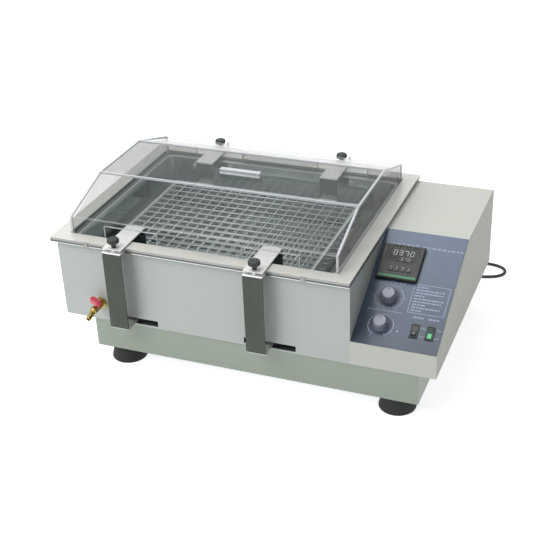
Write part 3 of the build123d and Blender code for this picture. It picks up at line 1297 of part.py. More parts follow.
def save(name, solids):
    """Writes one node's solids about the saved origin."""
    pieces = solids if isinstance(solids, list) else [solids]
    moved = [Pos(-ORIGIN.X, -ORIGIN.Y, 0) * solid for piece in pieces for solid in piece.solids()]
    shape = moved[0] if len(moved) == 1 else Compound(children=moved)
    export_step(shape, f"parts/{name}.step")


def build():
    """Makes every node and writes it."""
    os.makedirs("parts", exist_ok=True)
    save("tank", tank())
    save("tub_casing", tub_casing())
    save("tank_insulation", tank_insulation())
    save("deck_plate", deck_plate())
    save("plinth_casing", plinth_casing())
    save("bottom_plate", bottom_plate())
    save("rubber_feet", rubber_feet())
    save("control_housing", control_housing())
    save("control_panel", control_panel())
    save("controller_case", controller_case())
    save("controller_window", controller_window())
    for index, u in enumerate(key_places()):
        save(f"controller_key_{index + 1}", controller_key(u))
    save("timer_knob", dial_knob(TIMER_V))
    save("speed_knob", dial_knob(SPEED_V))
    save("dial_timer", dial_timer())
    save("speed_potentiometer", speed_potentiometer())
    save("switch_bodies", switch_bodies())
    save("shaker_rocker", rocker(SWITCH_U[0], -1))
    save("power_rocker", rocker(SWITCH_U[1], 1))
    save("rear_cover", rear_cover())
    save("machine_screws", machine_screws())
    save("fuse_holder", fuse_holder())
    save("control_board", control_board())
    save("transformer", transformer())
    save("heater_element", heater_element())
    save("temperature_probe", temperature_probe())
    save("gland_nuts", gland_nuts())
    save("drain_pipe", drain_pipe())
    save("drain_nut", drain_nut())
    save("drain_valve", drain_valve())
    save("drain_lever", drain_lever())
    save("rim_clips", rim_clips())
    save("clamp_straps", clamp_straps())
    save("rack_hangers", rack_hangers())
    save("clamp_spacers", clamp_spacers())
    rear_y = RIM_DEPTH - knob_y()
    for place, y in (("front", knob_y()), ("rear", rear_y)):
        for side, x in zip(("left", "right"), STRAP_X):
            save(f"clamp_knob_{place}_{side}", clamp_knob(x, y))
    save("carriage_frame", carriage_frame())
    save("carriage_bushes", carriage_bushes())
    save("guide_shafts", guide_shafts())
    save("shaft_supports", shaft_supports())
    save("carriage_screws", carriage_screws())
    save("rack_frame", rack_frame())
    save("upper_mesh", mesh(RACK_TOP - MESH_SETBACK - MESH_THICKNESS, UPPER_MESH_CELLS))
    save("lower_mesh", mesh(RACK_BOTTOM + MESH_SETBACK, LOWER_MESH_CELLS))
    save("crank_wheel", crank_wheel())
    save("connecting_rod", connecting_rod())
    save("drive_motor", drive_motor())
    save("lid_cover", lid_cover())
    save("lid_handle", lid_handle())
    save("cord_gland", cord_gland())
    save("power_cord", power_cord())
    save("cord_coil", cord_coil())
    save("cord_tie", cord_tie())
    save("mains_plug", mains_plug())


build()
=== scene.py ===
"""Shaking water bath: camera, studio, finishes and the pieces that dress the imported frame."""

import logging
import math
from dataclasses import dataclass, field
from enum import Enum
from typing import Any, ClassVar, Iterable, Sequence

import bmesh
import bpy
from mathutils import Matrix, Vector

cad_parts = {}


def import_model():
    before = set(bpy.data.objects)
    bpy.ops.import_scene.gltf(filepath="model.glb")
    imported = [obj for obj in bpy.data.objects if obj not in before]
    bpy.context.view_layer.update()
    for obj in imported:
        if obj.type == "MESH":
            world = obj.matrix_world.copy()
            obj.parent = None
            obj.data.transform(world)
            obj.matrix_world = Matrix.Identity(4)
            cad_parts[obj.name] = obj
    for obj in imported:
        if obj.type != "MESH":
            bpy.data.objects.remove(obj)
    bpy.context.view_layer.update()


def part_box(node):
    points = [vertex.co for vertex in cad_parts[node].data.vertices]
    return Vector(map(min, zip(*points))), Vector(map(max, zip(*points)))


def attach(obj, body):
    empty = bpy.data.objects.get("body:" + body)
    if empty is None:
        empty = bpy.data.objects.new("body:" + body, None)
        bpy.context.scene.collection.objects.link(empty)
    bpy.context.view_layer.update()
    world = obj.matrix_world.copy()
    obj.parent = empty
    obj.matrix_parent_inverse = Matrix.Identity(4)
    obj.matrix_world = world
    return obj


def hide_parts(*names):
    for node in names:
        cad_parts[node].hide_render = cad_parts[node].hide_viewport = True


LOG = logging.getLogger("water_bath")
MM = 0.001
# Thickness of what is printed, in metres
INK = 0.1 * MM
# Share of its fineness that a noise keeps along the brushing
DRAWN_OUT = 0.02
# Heights past both ends of the instrument, in metres
BELOW_ALL, ABOVE_ALL = -1.0, 1.0
WHITE = (1.0, 1.0, 1.0, 1.0)
SIDEWAYS, BACK, UP = Vector((1, 0, 0)), Vector((0, 1, 0)), Vector((0, 0, 1))
Colour = tuple[float, float, float]
Pair = tuple[float, float]


class Grain(Enum):
    """Direction of a metal's brushing, as the stretch of its noise along X, Y and Z."""

    ALONG_X = (DRAWN_OUT, 1.0, 1.0)
    ALONG_Y = (1.0, DRAWN_OUT, 1.0)
    ALONG_Z = (1.0, 1.0, DRAWN_OUT)


def linear(level: float) -> float:
    """Linear value of a screen value from 0 to 1, by the usual screen curve."""
    toe, toe_slope, offset, power = 0.04045, 12.92, 0.055, 2.4
    return level / toe_slope if level <= toe else ((level + offset) / (1 + offset)) ** power


def tone(red: int, green: int, blue: int) -> Colour:
    """Linear colour of a screen colour whose parts run from 0 to 255."""
    return tuple(linear(level / 255) for level in (red, green, blue))


def shade(colour: Colour, factor: float) -> Colour:
    """Colour made lighter or darker by a factor."""
    return tuple(min(channel * factor, 1.0) for channel in colour)


def shades(colour: Colour, spread: float) -> tuple[Colour, Colour]:
    """Darker and lighter neighbour of a colour, by the same share each way."""
    return shade(colour, 1 - spread), shade(colour, 1 + spread)


class Value:
    """One number in a node tree, used in ordinary arithmetic."""

    def __init__(self, tree: bpy.types.NodeTree, socket: bpy.types.NodeSocket) -> None:
        """Keeps the tree and the socket that carries the number."""
        self.tree = tree
        self.socket = socket

    def math(self, operation: str, first: Any, second: Any = None) -> "Value":
        """Adds one Math node.

        Args:
            operation: The Math node's operation.
            first: Its first number or value.
            second: Its second number or value, if it takes one.

        Returns:
            The node's result.
        """
        node = self.tree.nodes.new("ShaderNodeMath")
        node.operation = operation
        for socket, item in zip(node.inputs, (first, second)):
            if isinstance(item, Value):
                self.tree.links.new(item.socket, socket)
            elif item is not None:
                socket.default_value = item
        return Value(self.tree, node.outputs[0])

    def __add__(self, other: Any) -> "Value":
        """Sum."""
        return self.math("ADD", self, other)

    __radd__ = __add__

    def __sub__(self, other: Any) -> "Value":
        """Difference."""
        return self.math("SUBTRACT", self, other)

    def __rsub__(self, other: Any) -> "Value":
        """Difference from a number."""
        return self.math("SUBTRACT", other, self)

    def __mul__(self, other: Any) -> "Value":
        """Product."""
        return self.math("MULTIPLY", self, other)

    __rmul__ = __mul__

    def __pow__(self, other: Any) -> "Value":
        """Power."""
        return self.math("POWER", self, other)

    def over(self, edge: float) -> "Value":
        """One where the value is over an edge, otherwise nothing."""
        return self.math("GREATER_THAN", self, edge)


def strayed(middle: float | Value, noise: Value, spread: float) -> Value:
    """Value that strays from its middle with a noise, by half the spread each way."""
    return middle + (noise - 0.5) * spread


class Recipe:
    """Node tree of one material round a Principled shader."""

    def __init__(self, name: str) -> None:
        """Starts an empty material.

        Args:
            name: The material's name.
        """
        self.material = bpy.data.materials.new(name)
        self.material.use_nodes = True
        self.tree = self.material.node_tree
        self.tree.nodes.clear()
        self.shader = self.node("ShaderNodeBsdfPrincipled")
        output = self.node("ShaderNodeOutputMaterial")
        self.tree.links.new(self.shader.outputs[0], output.inputs["Surface"])

    def node(
        self, kind: str, settings: dict[str, Any] | None = None, inputs: dict[str, Any] | None = None
    ) -> bpy.types.Node:
        """Adds a node.

        Args:
            kind: The node's type.
            settings: Its own settings, which are set first.
            inputs: Values or links of its sockets, by socket name.

        Returns:
            The new node.
        """
        node = self.tree.nodes.new(kind)
        for name, setting in (settings or {}).items():
            setattr(node, name, setting)
        for name, item in (inputs or {}).items():
            self.feed(node, name, item)
        return node

    def feed(self, node: bpy.types.Node, name: str, item: Any) -> None:
        """Sets or links one socket of a node.

        Args:
            node: The node.
            name: The socket's name; the one in use is taken where several share it.
            item: A number, a colour, a value or another node's socket.
        """
        socket = next(s for s in node.inputs if s.name == name and s.enabled)
        if isinstance(item, Value):
            self.tree.links.new(item.socket, socket)
        elif isinstance(item, bpy.types.NodeSocket):
            self.tree.links.new(item, socket)
        else:
            socket.default_value = item

    def set(self, **inputs: Any) -> None:
        """Sets sockets of the shader, with underscores for spaces."""
        for name, item in inputs.items():
            self.feed(self.shader, name.replace("_", " "), item)

    def noise(self, size: float, detail: float = 2.0, grain: Grain | None = None) -> Value:
        """Noise in object space.

        Args:
            size: Size of its features in metres.
            detail: Number of finer layers.
            grain: The way that the noise is drawn out, if any.

        Returns:
            The noise from 0 to 1.
        """
        place = self.node("ShaderNodeTexCoord").outputs["Object"]
        stretch = grain.value if grain else (1.0, 1.0, 1.0)
        mapping = self.node("ShaderNodeMapping", None, {"Vector": place, "Scale": stretch})
        inputs = {"Vector": mapping.outputs[0], "Scale": 1 / size, "Detail": detail}
        return Value(self.tree, self.node("ShaderNodeTexNoise", None, inputs).outputs[0])

    def height(self) -> Value:
        """Height of the shaded point.

        Returns:
            The height over the table at rest, in metres.
        """
        place = self.node("ShaderNodeTexCoord").outputs["Object"]
        parts = self.node("ShaderNodeSeparateXYZ", None, {"Vector": place})
        return Value(self.tree, parts.outputs["Z"])

    def blend(self, factor: Value, first: Any, second: Any) -> bpy.types.NodeSocket:
        """Colour between two colours.

        Args:
            factor: Where it stands between them.
            first: The colour at 0, or the socket that gives it.
            second: The colour at 1, or the socket that gives it.

        Returns:
            The colour's socket.
        """
        ends = [end if isinstance(end, bpy.types.NodeSocket) else (*end, 1.0) for end in (first, second)]
        node = self.node(
            "ShaderNodeMix",
            {"data_type": "RGBA", "clamp_factor": True},
            {"Factor": factor, "A": ends[0], "B": ends[1]},
        )
        return next(s for s in node.outputs if s.enabled)

    def relief(self, height: Value, depth: float) -> None:
        """Bumps the shader's surface by a relief from 0 to 1, so many metres deep."""
        bump = self.node("ShaderNodeBump", None, {"Height": height, "Distance": depth, "Strength": 1.0})
        self.set(Normal=bump.outputs[0])


class Finish:
    """A finish that becomes a material."""

    def make(self, name: str) -> bpy.types.Material:
        """Builds the material.

        Args:
            name: The material's name.

        Returns:
            The material.
        """
        recipe = Recipe(name)
        self.paint(recipe)
        return recipe.material

    def paint(self, recipe: Recipe) -> None:
        """Sets the shader of a recipe, which each finish does in its own way."""
        raise NotImplementedError


@dataclass(frozen=True)
class PaintedSheet(Finish):
    """Baked paint on sheet metal: even colour, fine orange peel and faint clouding."""

    colour: Colour
    roughness: float
    clouding: float
    metallic: float = 0.0
    cloud_size: float = 0.09
    gloss_size: float = 0.02
    gloss_spread: float = 0.1
    peel_size: float = 0.0012
    peel_depth: float = 0.00001

    def paint(self, recipe: Recipe) -> None:
        """Sets the shader.

        Args:
            recipe: The material that is being built.
        """
        clouds = recipe.noise(self.cloud_size, detail=3.0)
        recipe.set(Base_Color=recipe.blend(clouds, *shades(self.colour, self.clouding)))
        gloss = recipe.noise(self.gloss_size)
        recipe.set(Metallic=self.metallic, Roughness=strayed(self.roughness, gloss, self.gloss_spread))
        recipe.relief(recipe.noise(self.peel_size, detail=1.0), self.peel_depth)


@dataclass(frozen=True)
class PrintedSheetWithPaintedShade(Finish):
    """Printed overlay with painted shade: its colour darkens from its head down to its foot."""

    foot: Colour
    head: Colour
    low: float
    high: float
    roughness: float = 0.3
    mottle_size: float = 0.05
    mottling: float = 0.5
    gloss_size: float = 0.02
    gloss_spread: float = 0.1

    def paint(self, recipe: Recipe) -> None:
        """Sets the shader.

        Args:
            recipe: The material that is being built.
        """
        # Painted shade: the colour runs from the darker foot up to the paler head.
        share = (recipe.height() - self.low) * (1 / (self.high - self.low))
        mottled = strayed(share, recipe.noise(self.mottle_size, detail=3.0), self.mottling)
        recipe.set(Base_Color=recipe.blend(mottled, self.foot, self.head))
        gloss = recipe.noise(self.gloss_size)
        recipe.set(Roughness=strayed(self.roughness, gloss, self.gloss_spread))


@dataclass(frozen=True)
class PlainMetal(Finish):
    """Turned, drawn or plated metal with a fine mottle and a softly clouded polish."""

    colour: Colour
    roughness: float
    mottling: float
    metallic: float = 0.85
    mottle_size: float = 0.0009
    cloud_size: float = 0.06
    mottle_share: float = 0.6
    gloss_spread: float = 0.2
    relief: float = 0.00002

    def paint(self, recipe: Recipe) -> None:
        """Sets the shader.

        Args:
            recipe: The material that is being built.
        """
        mottle = recipe.noise(self.mottle_size)
        mixed = mottle * self.mottle_share + recipe.noise(self.cloud_size) * (1 - self.mottle_share)
        recipe.set(Base_Color=recipe.blend(mixed, *shades(self.colour, self.mottling)))
        recipe.set(Metallic=self.metallic, Roughness=strayed(self.roughness, mottle, self.gloss_spread))
        recipe.relief(mottle, self.relief)


@dataclass(frozen=True)
class Band:
    """Heights between which a sheet has another colour and polish; most bands paint highlights and shade."""

    low: float
    high: float
    colour: Colour
    roughness: float
    metallic: float
    streak: float = 0.05


@dataclass(frozen=True)
class BandedSteel(Finish):
    """Brushed steel sheet whose colour and polish change at the heights of its bends, with painted
    highlights and painted shade in those bands.
    """

    colour: Colour
    bands: tuple[Band, ...]
    grain: Grain
    roughness: float
    streak: float
    metallic: float = 1.0
    streak_size: float = 0.0011
    streak_share: float = 0.55
    cloud_size: float = 0.035
    gloss_spread: float = 0.12
    wave_depth: float = 0.00002
    wave_size: float = 0.009
    streak_relief: float = 0.1

    def paint(self, recipe: Recipe) -> None:
        """Sets the shader.

        Args:
            recipe: The material that is being built.
        """
        height = recipe.height()
        streaks = recipe.noise(self.streak_size, grain=self.grain)
        clouds = recipe.noise(self.cloud_size, detail=3.0)
        mixed = streaks * self.streak_share + clouds * (1 - self.streak_share)
        colour = recipe.blend(mixed, *shades(self.colour, self.streak))
        roughness = strayed(self.roughness, streaks, self.gloss_spread)
        metallic: float | Value = self.metallic
        # Each band lays its colour over the steel between its heights: most are painted highlights and
        # painted shade.
        for band in self.bands:
            inside = height.over(band.low) * (1 - height.over(band.high))
            band_shading = recipe.blend(mixed, *shades(band.colour, band.streak))
            colour = recipe.blend(inside, colour, band_shading)
            roughness = roughness + inside * (band.roughness - roughness)
            metallic = metallic + inside * (band.metallic - metallic)
        recipe.set(Base_Color=colour, Roughness=roughness, Metallic=metallic)
        waves = recipe.noise(self.wave_size)
        recipe.relief(streaks * self.streak_relief + waves * (1 - self.streak_relief), self.wave_depth)


@dataclass(frozen=True)
class MouldedPlastic(Finish):
    """Moulded plastic with a fine spark-eroded grain."""

    colour: Colour
    roughness: float = 0.45
    wear: float = 0.08
    wear_size: float = 0.012
    gloss_spread: float = 0.15
    grain_size: float = 0.0007
    grain_depth: float = 0.00002

    def paint(self, recipe: Recipe) -> None:
        """Sets the shader.

        Args:
            recipe: The material that is being built.
        """
        handled = recipe.noise(self.wear_size)
        recipe.set(Base_Color=recipe.blend(handled, *shades(self.colour, self.wear)))
        recipe.set(Roughness=strayed(self.roughness, handled, self.gloss_spread))
        recipe.relief(recipe.noise(self.grain_size), self.grain_depth)


@dataclass(frozen=True)
class MouldedRubber(Finish):
    """Dull rubber with a chalky bloom on it."""

    colour: Colour
    bloom: float = 0.5
    bloom_size: float = 0.02
    roughness: float = 0.6
    bloom_roughness: float = 0.25
    grain_size: float = 0.0015
    grain_depth: float = 0.00005

    def paint(self, recipe: Recipe) -> None:
        """Sets the shader.

        Args:
            recipe: The material that is being built.
        """
        dust = recipe.noise(self.bloom_size, detail=4.0) ** 2.0
        recipe.set(Base_Color=recipe.blend(dust, self.colour, shade(self.colour, 1 + self.bloom)))
        recipe.set(Roughness=self.roughness + dust * self.bloom_roughness)
        recipe.relief(recipe.noise(self.grain_size), self.grain_depth)


@dataclass(frozen=True)
class ClearSheet(Finish):
    """Clear acrylic sheet, fainter face on than at a slant."""

    colour: Colour
    face_on: float
    slant: float
    edge_blend: float = 0.35
    haze_size: float = 0.05
    haze: float = 0.04
    roughness: float = 0.04
    haze_roughness: float = 0.06

    def paint(self, recipe: Recipe) -> None:
        """Sets the shader.

        Args:
            recipe: The material that is being built.
        """
        weight = recipe.node("ShaderNodeLayerWeight", None, {"Blend": self.edge_blend})
        facing = Value(recipe.tree, weight.outputs["Facing"])
        haze = recipe.noise(self.haze_size)
        recipe.set(Base_Color=recipe.blend(haze, shade(self.colour, 1 - self.haze), self.colour))
        recipe.set(Roughness=self.roughness + haze * self.haze_roughness)
        recipe.set(Alpha=self.face_on + facing**2.0 * self.slant)


@dataclass(frozen=True)
class PrintedInk(Finish):
    """Flat screen-printed ink."""

    colour: Colour
    roughness: float = 0.5
    patch_size: float = 0.004
    patchiness: float = 0.1

    def paint(self, recipe: Recipe) -> None:
        """Sets the shader.

        Args:
            recipe: The material that is being built.
        """
        patch = recipe.noise(self.patch_size)
        recipe.set(Base_Color=recipe.blend(patch, shade(self.colour, 1 - self.patchiness), self.colour))
        recipe.set(Roughness=self.roughness)


@dataclass(frozen=True)
class LitPlastic(Finish):
    """Translucent plastic with a lamp behind it."""

    colour: Colour
    strength: float
    unevenness: float = 0.15
    glow_size: float = 0.01
    roughness: float = 0.25

    def paint(self, recipe: Recipe) -> None:
        """Sets the shader.

        Args:
            recipe: The material that is being built.
        """
        glow = recipe.noise(self.glow_size, detail=1.0)
        lit = recipe.blend(glow, *shades(self.colour, self.unevenness))
        recipe.set(Base_Color=lit, Emission_Color=lit)
        recipe.set(Emission_Strength=self.strength, Roughness=self.roughness)


@dataclass(frozen=True)
class Foam(Finish):
    """Open-celled insulating foam."""

    colour: Colour
    cell_size: float = 0.002
    cell_shade: float = 0.8
    cell_depth: float = 0.0004
    roughness: float = 0.9

    def paint(self, recipe: Recipe) -> None:
        """Sets the shader.

        Args:
            recipe: The material that is being built.
        """
        cells = recipe.noise(self.cell_size, detail=3.0)
        recipe.set(Base_Color=recipe.blend(cells, shade(self.colour, self.cell_shade), self.colour))
        recipe.set(Roughness=self.roughness)
        recipe.relief(cells, self.cell_depth)


@dataclass(frozen=True)
class Levels:
    """Heights of the instrument's bends over the table, read from the frame."""

    tank_floor: float
    ledge: float
    rim: float
    strap_foot: float
    strap_flange: float
    rack: float
    hanger: float

    @classmethod
    def read(cls) -> "Levels":
        """Reads the heights from the boxes of the nodes.

        Returns:
            The heights.
        """
        tank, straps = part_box("tank"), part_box("clamp_straps")
        sheet, lid_gap, foot_bend, bend = 1.5 * MM, 0.3 * MM, 2.4 * MM, 2 * MM
        return cls(
            tank_floor=tank[0].z + sheet,
            ledge=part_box("lid_cover")[0].z - lid_gap,
            rim=tank[1].z,
            strap_foot=straps[0].z + foot_bend,
            strap_flange=straps[1].z - bend,
            rack=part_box("rack_frame")[1].z + bend,
            hanger=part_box("clamp_spacers")[1].z,
        )


def paints(levels: Levels) -> dict[str, Finish]:
    """Paints of the casings and the panel's overlay.

    Args:
        levels: Heights between which the overlay's painted shade fades.

    Returns:
        The finishes by name.
    """
    overlay_foot = levels.ledge - 106 * MM
    return {
        "casing_paint": PaintedSheet(tone(192, 198, 195), roughness=0.42, clouding=0.02, metallic=0.06),
        "plinth_paint": PaintedSheet(tone(157, 167, 155), roughness=0.3, clouding=0.03, metallic=0.15),
        "housing_paint": PaintedSheet(tone(208, 212, 203), roughness=0.55, clouding=0.02),
        # The panel's overlay carries painted shade, darker towards its foot.
        "panel_paint": PrintedSheetWithPaintedShade(tone(60, 73, 92), tone(84, 105, 130), overlay_foot, levels.ledge),
    }


def sheet_steels(levels: Levels) -> dict[str, Finish]:
    """Bent steel sheets, whose faces differ in polish, with painted highlights and painted shade in bands.

    Args:
        levels: Heights of the bends.

    Returns:
        The finishes by name.
    """
    near, rim_turn, rack_depth = 0.3 * MM, 4.5 * MM, 12 * MM
    floor, ledge, rim = levels.tank_floor, levels.ledge, levels.rim
    tank = (
        # Painted light on the tank: the floor band is darker and duller; the ledge band is a painted
        # highlight, the glare on the ledge; the band from the ledge up to the rim's turned edge is painted
        # shade, with a paler grey band above it just under the rim's top.
        Band(BELOW_ALL, floor + near, tone(112, 121, 119), roughness=0.5, metallic=0.3),
        Band(ledge - near, ledge + near, tone(206, 209, 210), roughness=0.4, metallic=0.2),
        Band(ledge + near, rim - rim_turn, tone(98, 100, 98), roughness=0.35, metallic=0.3),
        Band(rim - rim_turn, rim - near, tone(168, 170, 168), roughness=0.3, metallic=0.3),
        Band(rim - near, ABOVE_ALL, tone(224, 223, 217), roughness=0.28, metallic=0.3, streak=0.22),
    )
    strap = (
        # Painted highlights on the straps: the foot tab and the top flange are pale where light falls on
        # their bends.
        Band(BELOW_ALL, levels.strap_foot, tone(206, 212, 208), roughness=0.45, metallic=0.1),
        Band(levels.strap_flange, ABOVE_ALL, tone(220, 222, 220), roughness=0.3, metallic=0.4),
    )
    # Painted shade: the rack frame's lower part, deep in the tank, is dark and dull.
    rack = (Band(BELOW_ALL, levels.rack - rack_depth, tone(70, 77, 75), roughness=0.6, metallic=0.0),)
    # Painted light on the hangers: the top plate is near white where light falls on it, and the legs that
    # hang into the tank are darker.
    hanger = (Band(levels.rack, levels.hanger - near, tone(120, 126, 128), roughness=0.18, metallic=1.0),)
    return {
        "tank_steel": BandedSteel(
            tone(222, 229, 232), tank, Grain.ALONG_X, 0.14, streak=0.3, wave_depth=0.0005, wave_size=0.035
        ),
        "strap_steel": BandedSteel(
            tone(66, 72, 66), strap, Grain.ALONG_Z, 0.34, streak=0.5, metallic=0.5, streak_size=0.004
        ),
        # The hangers' near white stands for the light on their top plate: painted light.
        "hanger_steel": BandedSteel(
            tone(240, 240, 238), hanger, Grain.ALONG_Y, 0.4, streak=0.04, metallic=0.1
        ),
        "rack_steel": BandedSteel(tone(176, 184, 180), rack, Grain.ALONG_X, 0.4, streak=0.08, metallic=0.4),
    }


def plain_metals() -> dict[str, Finish]:
    """Metals of the pipes, wires, shafts and fittings, by name."""
    return {
        "pipe_steel": PlainMetal(tone(190, 188, 182), roughness=0.3, mottling=0.16),
        "wire_steel": PlainMetal(tone(196, 204, 202), roughness=0.45, mottling=0.1, metallic=0.3),
        # Painted shade: the heater is darkened to sit in the shade at the foot of the tank.
        "heater_shaded_steel": PlainMetal(tone(92, 98, 98), roughness=0.5, mottling=0.1, metallic=0.3),
        "zinc_steel": PlainMetal(tone(160, 164, 168), roughness=0.45, mottling=0.1),
        "clip_steel": PlainMetal(tone(150, 150, 148), roughness=0.4, mottling=0.1),
        "bright_steel": PlainMetal(tone(205, 207, 210), roughness=0.2, mottling=0.05, metallic=1.0),
        "brass": PlainMetal(tone(172, 152, 84), roughness=0.26, mottling=0.15, metallic=0.9),
        "bronze": PlainMetal(tone(170, 130, 80), roughness=0.4, mottling=0.12, metallic=0.9),
    }


def mouldings() -> dict[str, Finish]:
    """Plastics, rubbers and foam, by name."""
    return {
        "black_plastic": MouldedPlastic(tone(34, 38, 39)),
        "controller_plastic": MouldedPlastic(tone(14, 22, 18), roughness=0.42),
        "knob_plastic": MouldedPlastic(tone(120, 127, 140), roughness=0.35),
        "dial_face": MouldedPlastic(tone(150, 154, 168), roughness=0.3),
        "key_plastic": MouldedPlastic(tone(62, 70, 66), roughness=0.4),
        "red_plastic": MouldedPlastic(tone(205, 58, 84), roughness=0.25),
        "board_green": MouldedPlastic(tone(50, 120, 80), roughness=0.5),
        "rocker_plastic": MouldedPlastic(tone(28, 33, 33), roughness=0.3),
        "rocker_dark": MouldedPlastic(tone(22, 58, 42), roughness=0.25),
        "rocker_lit": LitPlastic(tone(52, 170, 104), strength=0.5),
        "foot_rubber": MouldedRubber(tone(16, 23, 21)),
        "cord_rubber": MouldedRubber(tone(52, 57, 56)),
        "foam": Foam(tone(220, 212, 180)),
    }


def clear_sheets_and_inks() -> dict[str, Finish]:
    """Acrylic of the lid and the controller's window, painted highlights of the lid, printing inks and lit
    figures, by name.
    """
    return {
        "clear_sheet": ClearSheet(tone(104, 114, 112), face_on=0.08, slant=0.85),
        # Painted highlights of the lid: fainter along its bends, bright along its edges and its handle,
        # brightest at the handle's foot.
        "clear_fold_highlight": ClearSheet(tone(222, 226, 230), face_on=0.22, slant=0.3),
        "clear_highlight": ClearSheet(tone(238, 240, 246), face_on=0.62, slant=0.3),
        "clear_glint": ClearSheet(tone(252, 252, 252), face_on=0.95, slant=0.05),
        "window_clear": ClearSheet(tone(30, 38, 34), face_on=0.2, slant=0.25),
        "pale_ink": PrintedInk(tone(162, 174, 196)),
        "faint_ink": PrintedInk(tone(146, 160, 186)),
        "dark_ink": PrintedInk(tone(62, 72, 92)),
        "green_ink": PrintedInk(tone(72, 150, 108)),
        "white_ink": PrintedInk(tone(176, 182, 176)),
        "grey_mark": PrintedInk(tone(150, 156, 156)),
        "figure_light": LitPlastic(tone(165, 172, 166), strength=0.22),
    }


NODES_BY_FINISH: dict[str, tuple[str, ...]] = {
    "tank_steel": ("tank",),
    "strap_steel": ("clamp_straps",),
    "hanger_steel": ("rack_hangers",),
    "rack_steel": ("rack_frame",),
    "casing_paint": ("tub_casing", "rear_cover"),
    "plinth_paint": ("plinth_casing",),
    "housing_paint": ("control_housing",),
    "panel_paint": ("control_panel",),
    "pipe_steel": ("drain_pipe",),
    "wire_steel": ("upper_mesh", "lower_mesh"),
    "heater_shaded_steel": ("heater_element",),
    "zinc_steel": (
        "deck_plate",
        "bottom_plate",
        "carriage_frame",
        "shaft_supports",
        "connecting_rod",
        "speed_potentiometer",
        "transformer",
    ),
    "clip_steel": ("rim_clips",),
    "bright_steel": (
        "clamp_spacers",
        "guide_shafts",
        "carriage_screws",
        "crank_wheel",
        "temperature_probe",
        "machine_screws",
    ),
    "brass": ("gland_nuts", "drain_nut", "drain_valve"),
    "bronze": ("carriage_bushes",),
    "black_plastic": (
        *(f"clamp_knob_{end}_{side}" for end in ("front", "rear") for side in ("left", "right")),
        "drive_motor",
        "dial_timer",
        "switch_bodies",
        "fuse_holder",
        "cord_gland",
        "cord_tie",
        "mains_plug",
    ),
    "controller_plastic": ("controller_case",),
    "key_plastic": tuple(f"controller_key_{number}" for number in (1, 2, 3, 4)),
    "knob_plastic": ("timer_knob", "speed_knob"),
    "rocker_plastic": ("shaker_rocker",),
    "rocker_dark": ("power_rocker",),
    "red_plastic": ("drain_lever",),
    "board_green": ("control_board",),
    "foot_rubber": ("rubber_feet",),
    "cord_rubber": ("power_cord", "cord_coil"),
    "foam": ("tank_insulation",),
    "clear_sheet": ("lid_cover",),
    # The lid's handle is painted bright all over: a painted highlight.
    "clear_highlight": ("lid_handle",),
    "window_clear": ("controller_window",),
}


class FinishShop:
    """Makes each finish once and puts it on pieces."""

    def __init__(self, levels: Levels) -> None:
        """Keeps the finishes, with no material made yet.

        Args:
            levels: Heights at which the sheet metal's polish changes.
        """
        self.known = {
            **paints(levels),
            **sheet_steels(levels),
            **plain_metals(),
            **mouldings(),
            **clear_sheets_and_inks(),
        }
        self.made: dict[str, bpy.types.Material] = {}

    def get(self, name: str) -> bpy.types.Material:
        """Gives a finish's material, made at its first use.

        Args:
            name: The finish's name.

        Returns:
            The material.
        """
        if name not in self.made:
            self.made[name] = self.known[name].make(name)
        return self.made[name]

    def dress_nodes(self) -> None:
        """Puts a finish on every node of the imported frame."""
        for finish, nodes in NODES_BY_FINISH.items():
            for node in nodes:
                mesh = bpy.data.objects[node].data
                mesh.materials.clear()
                mesh.materials.append(self.get(finish))
            LOG.info("%s: on %s", finish, ", ".join(nodes))


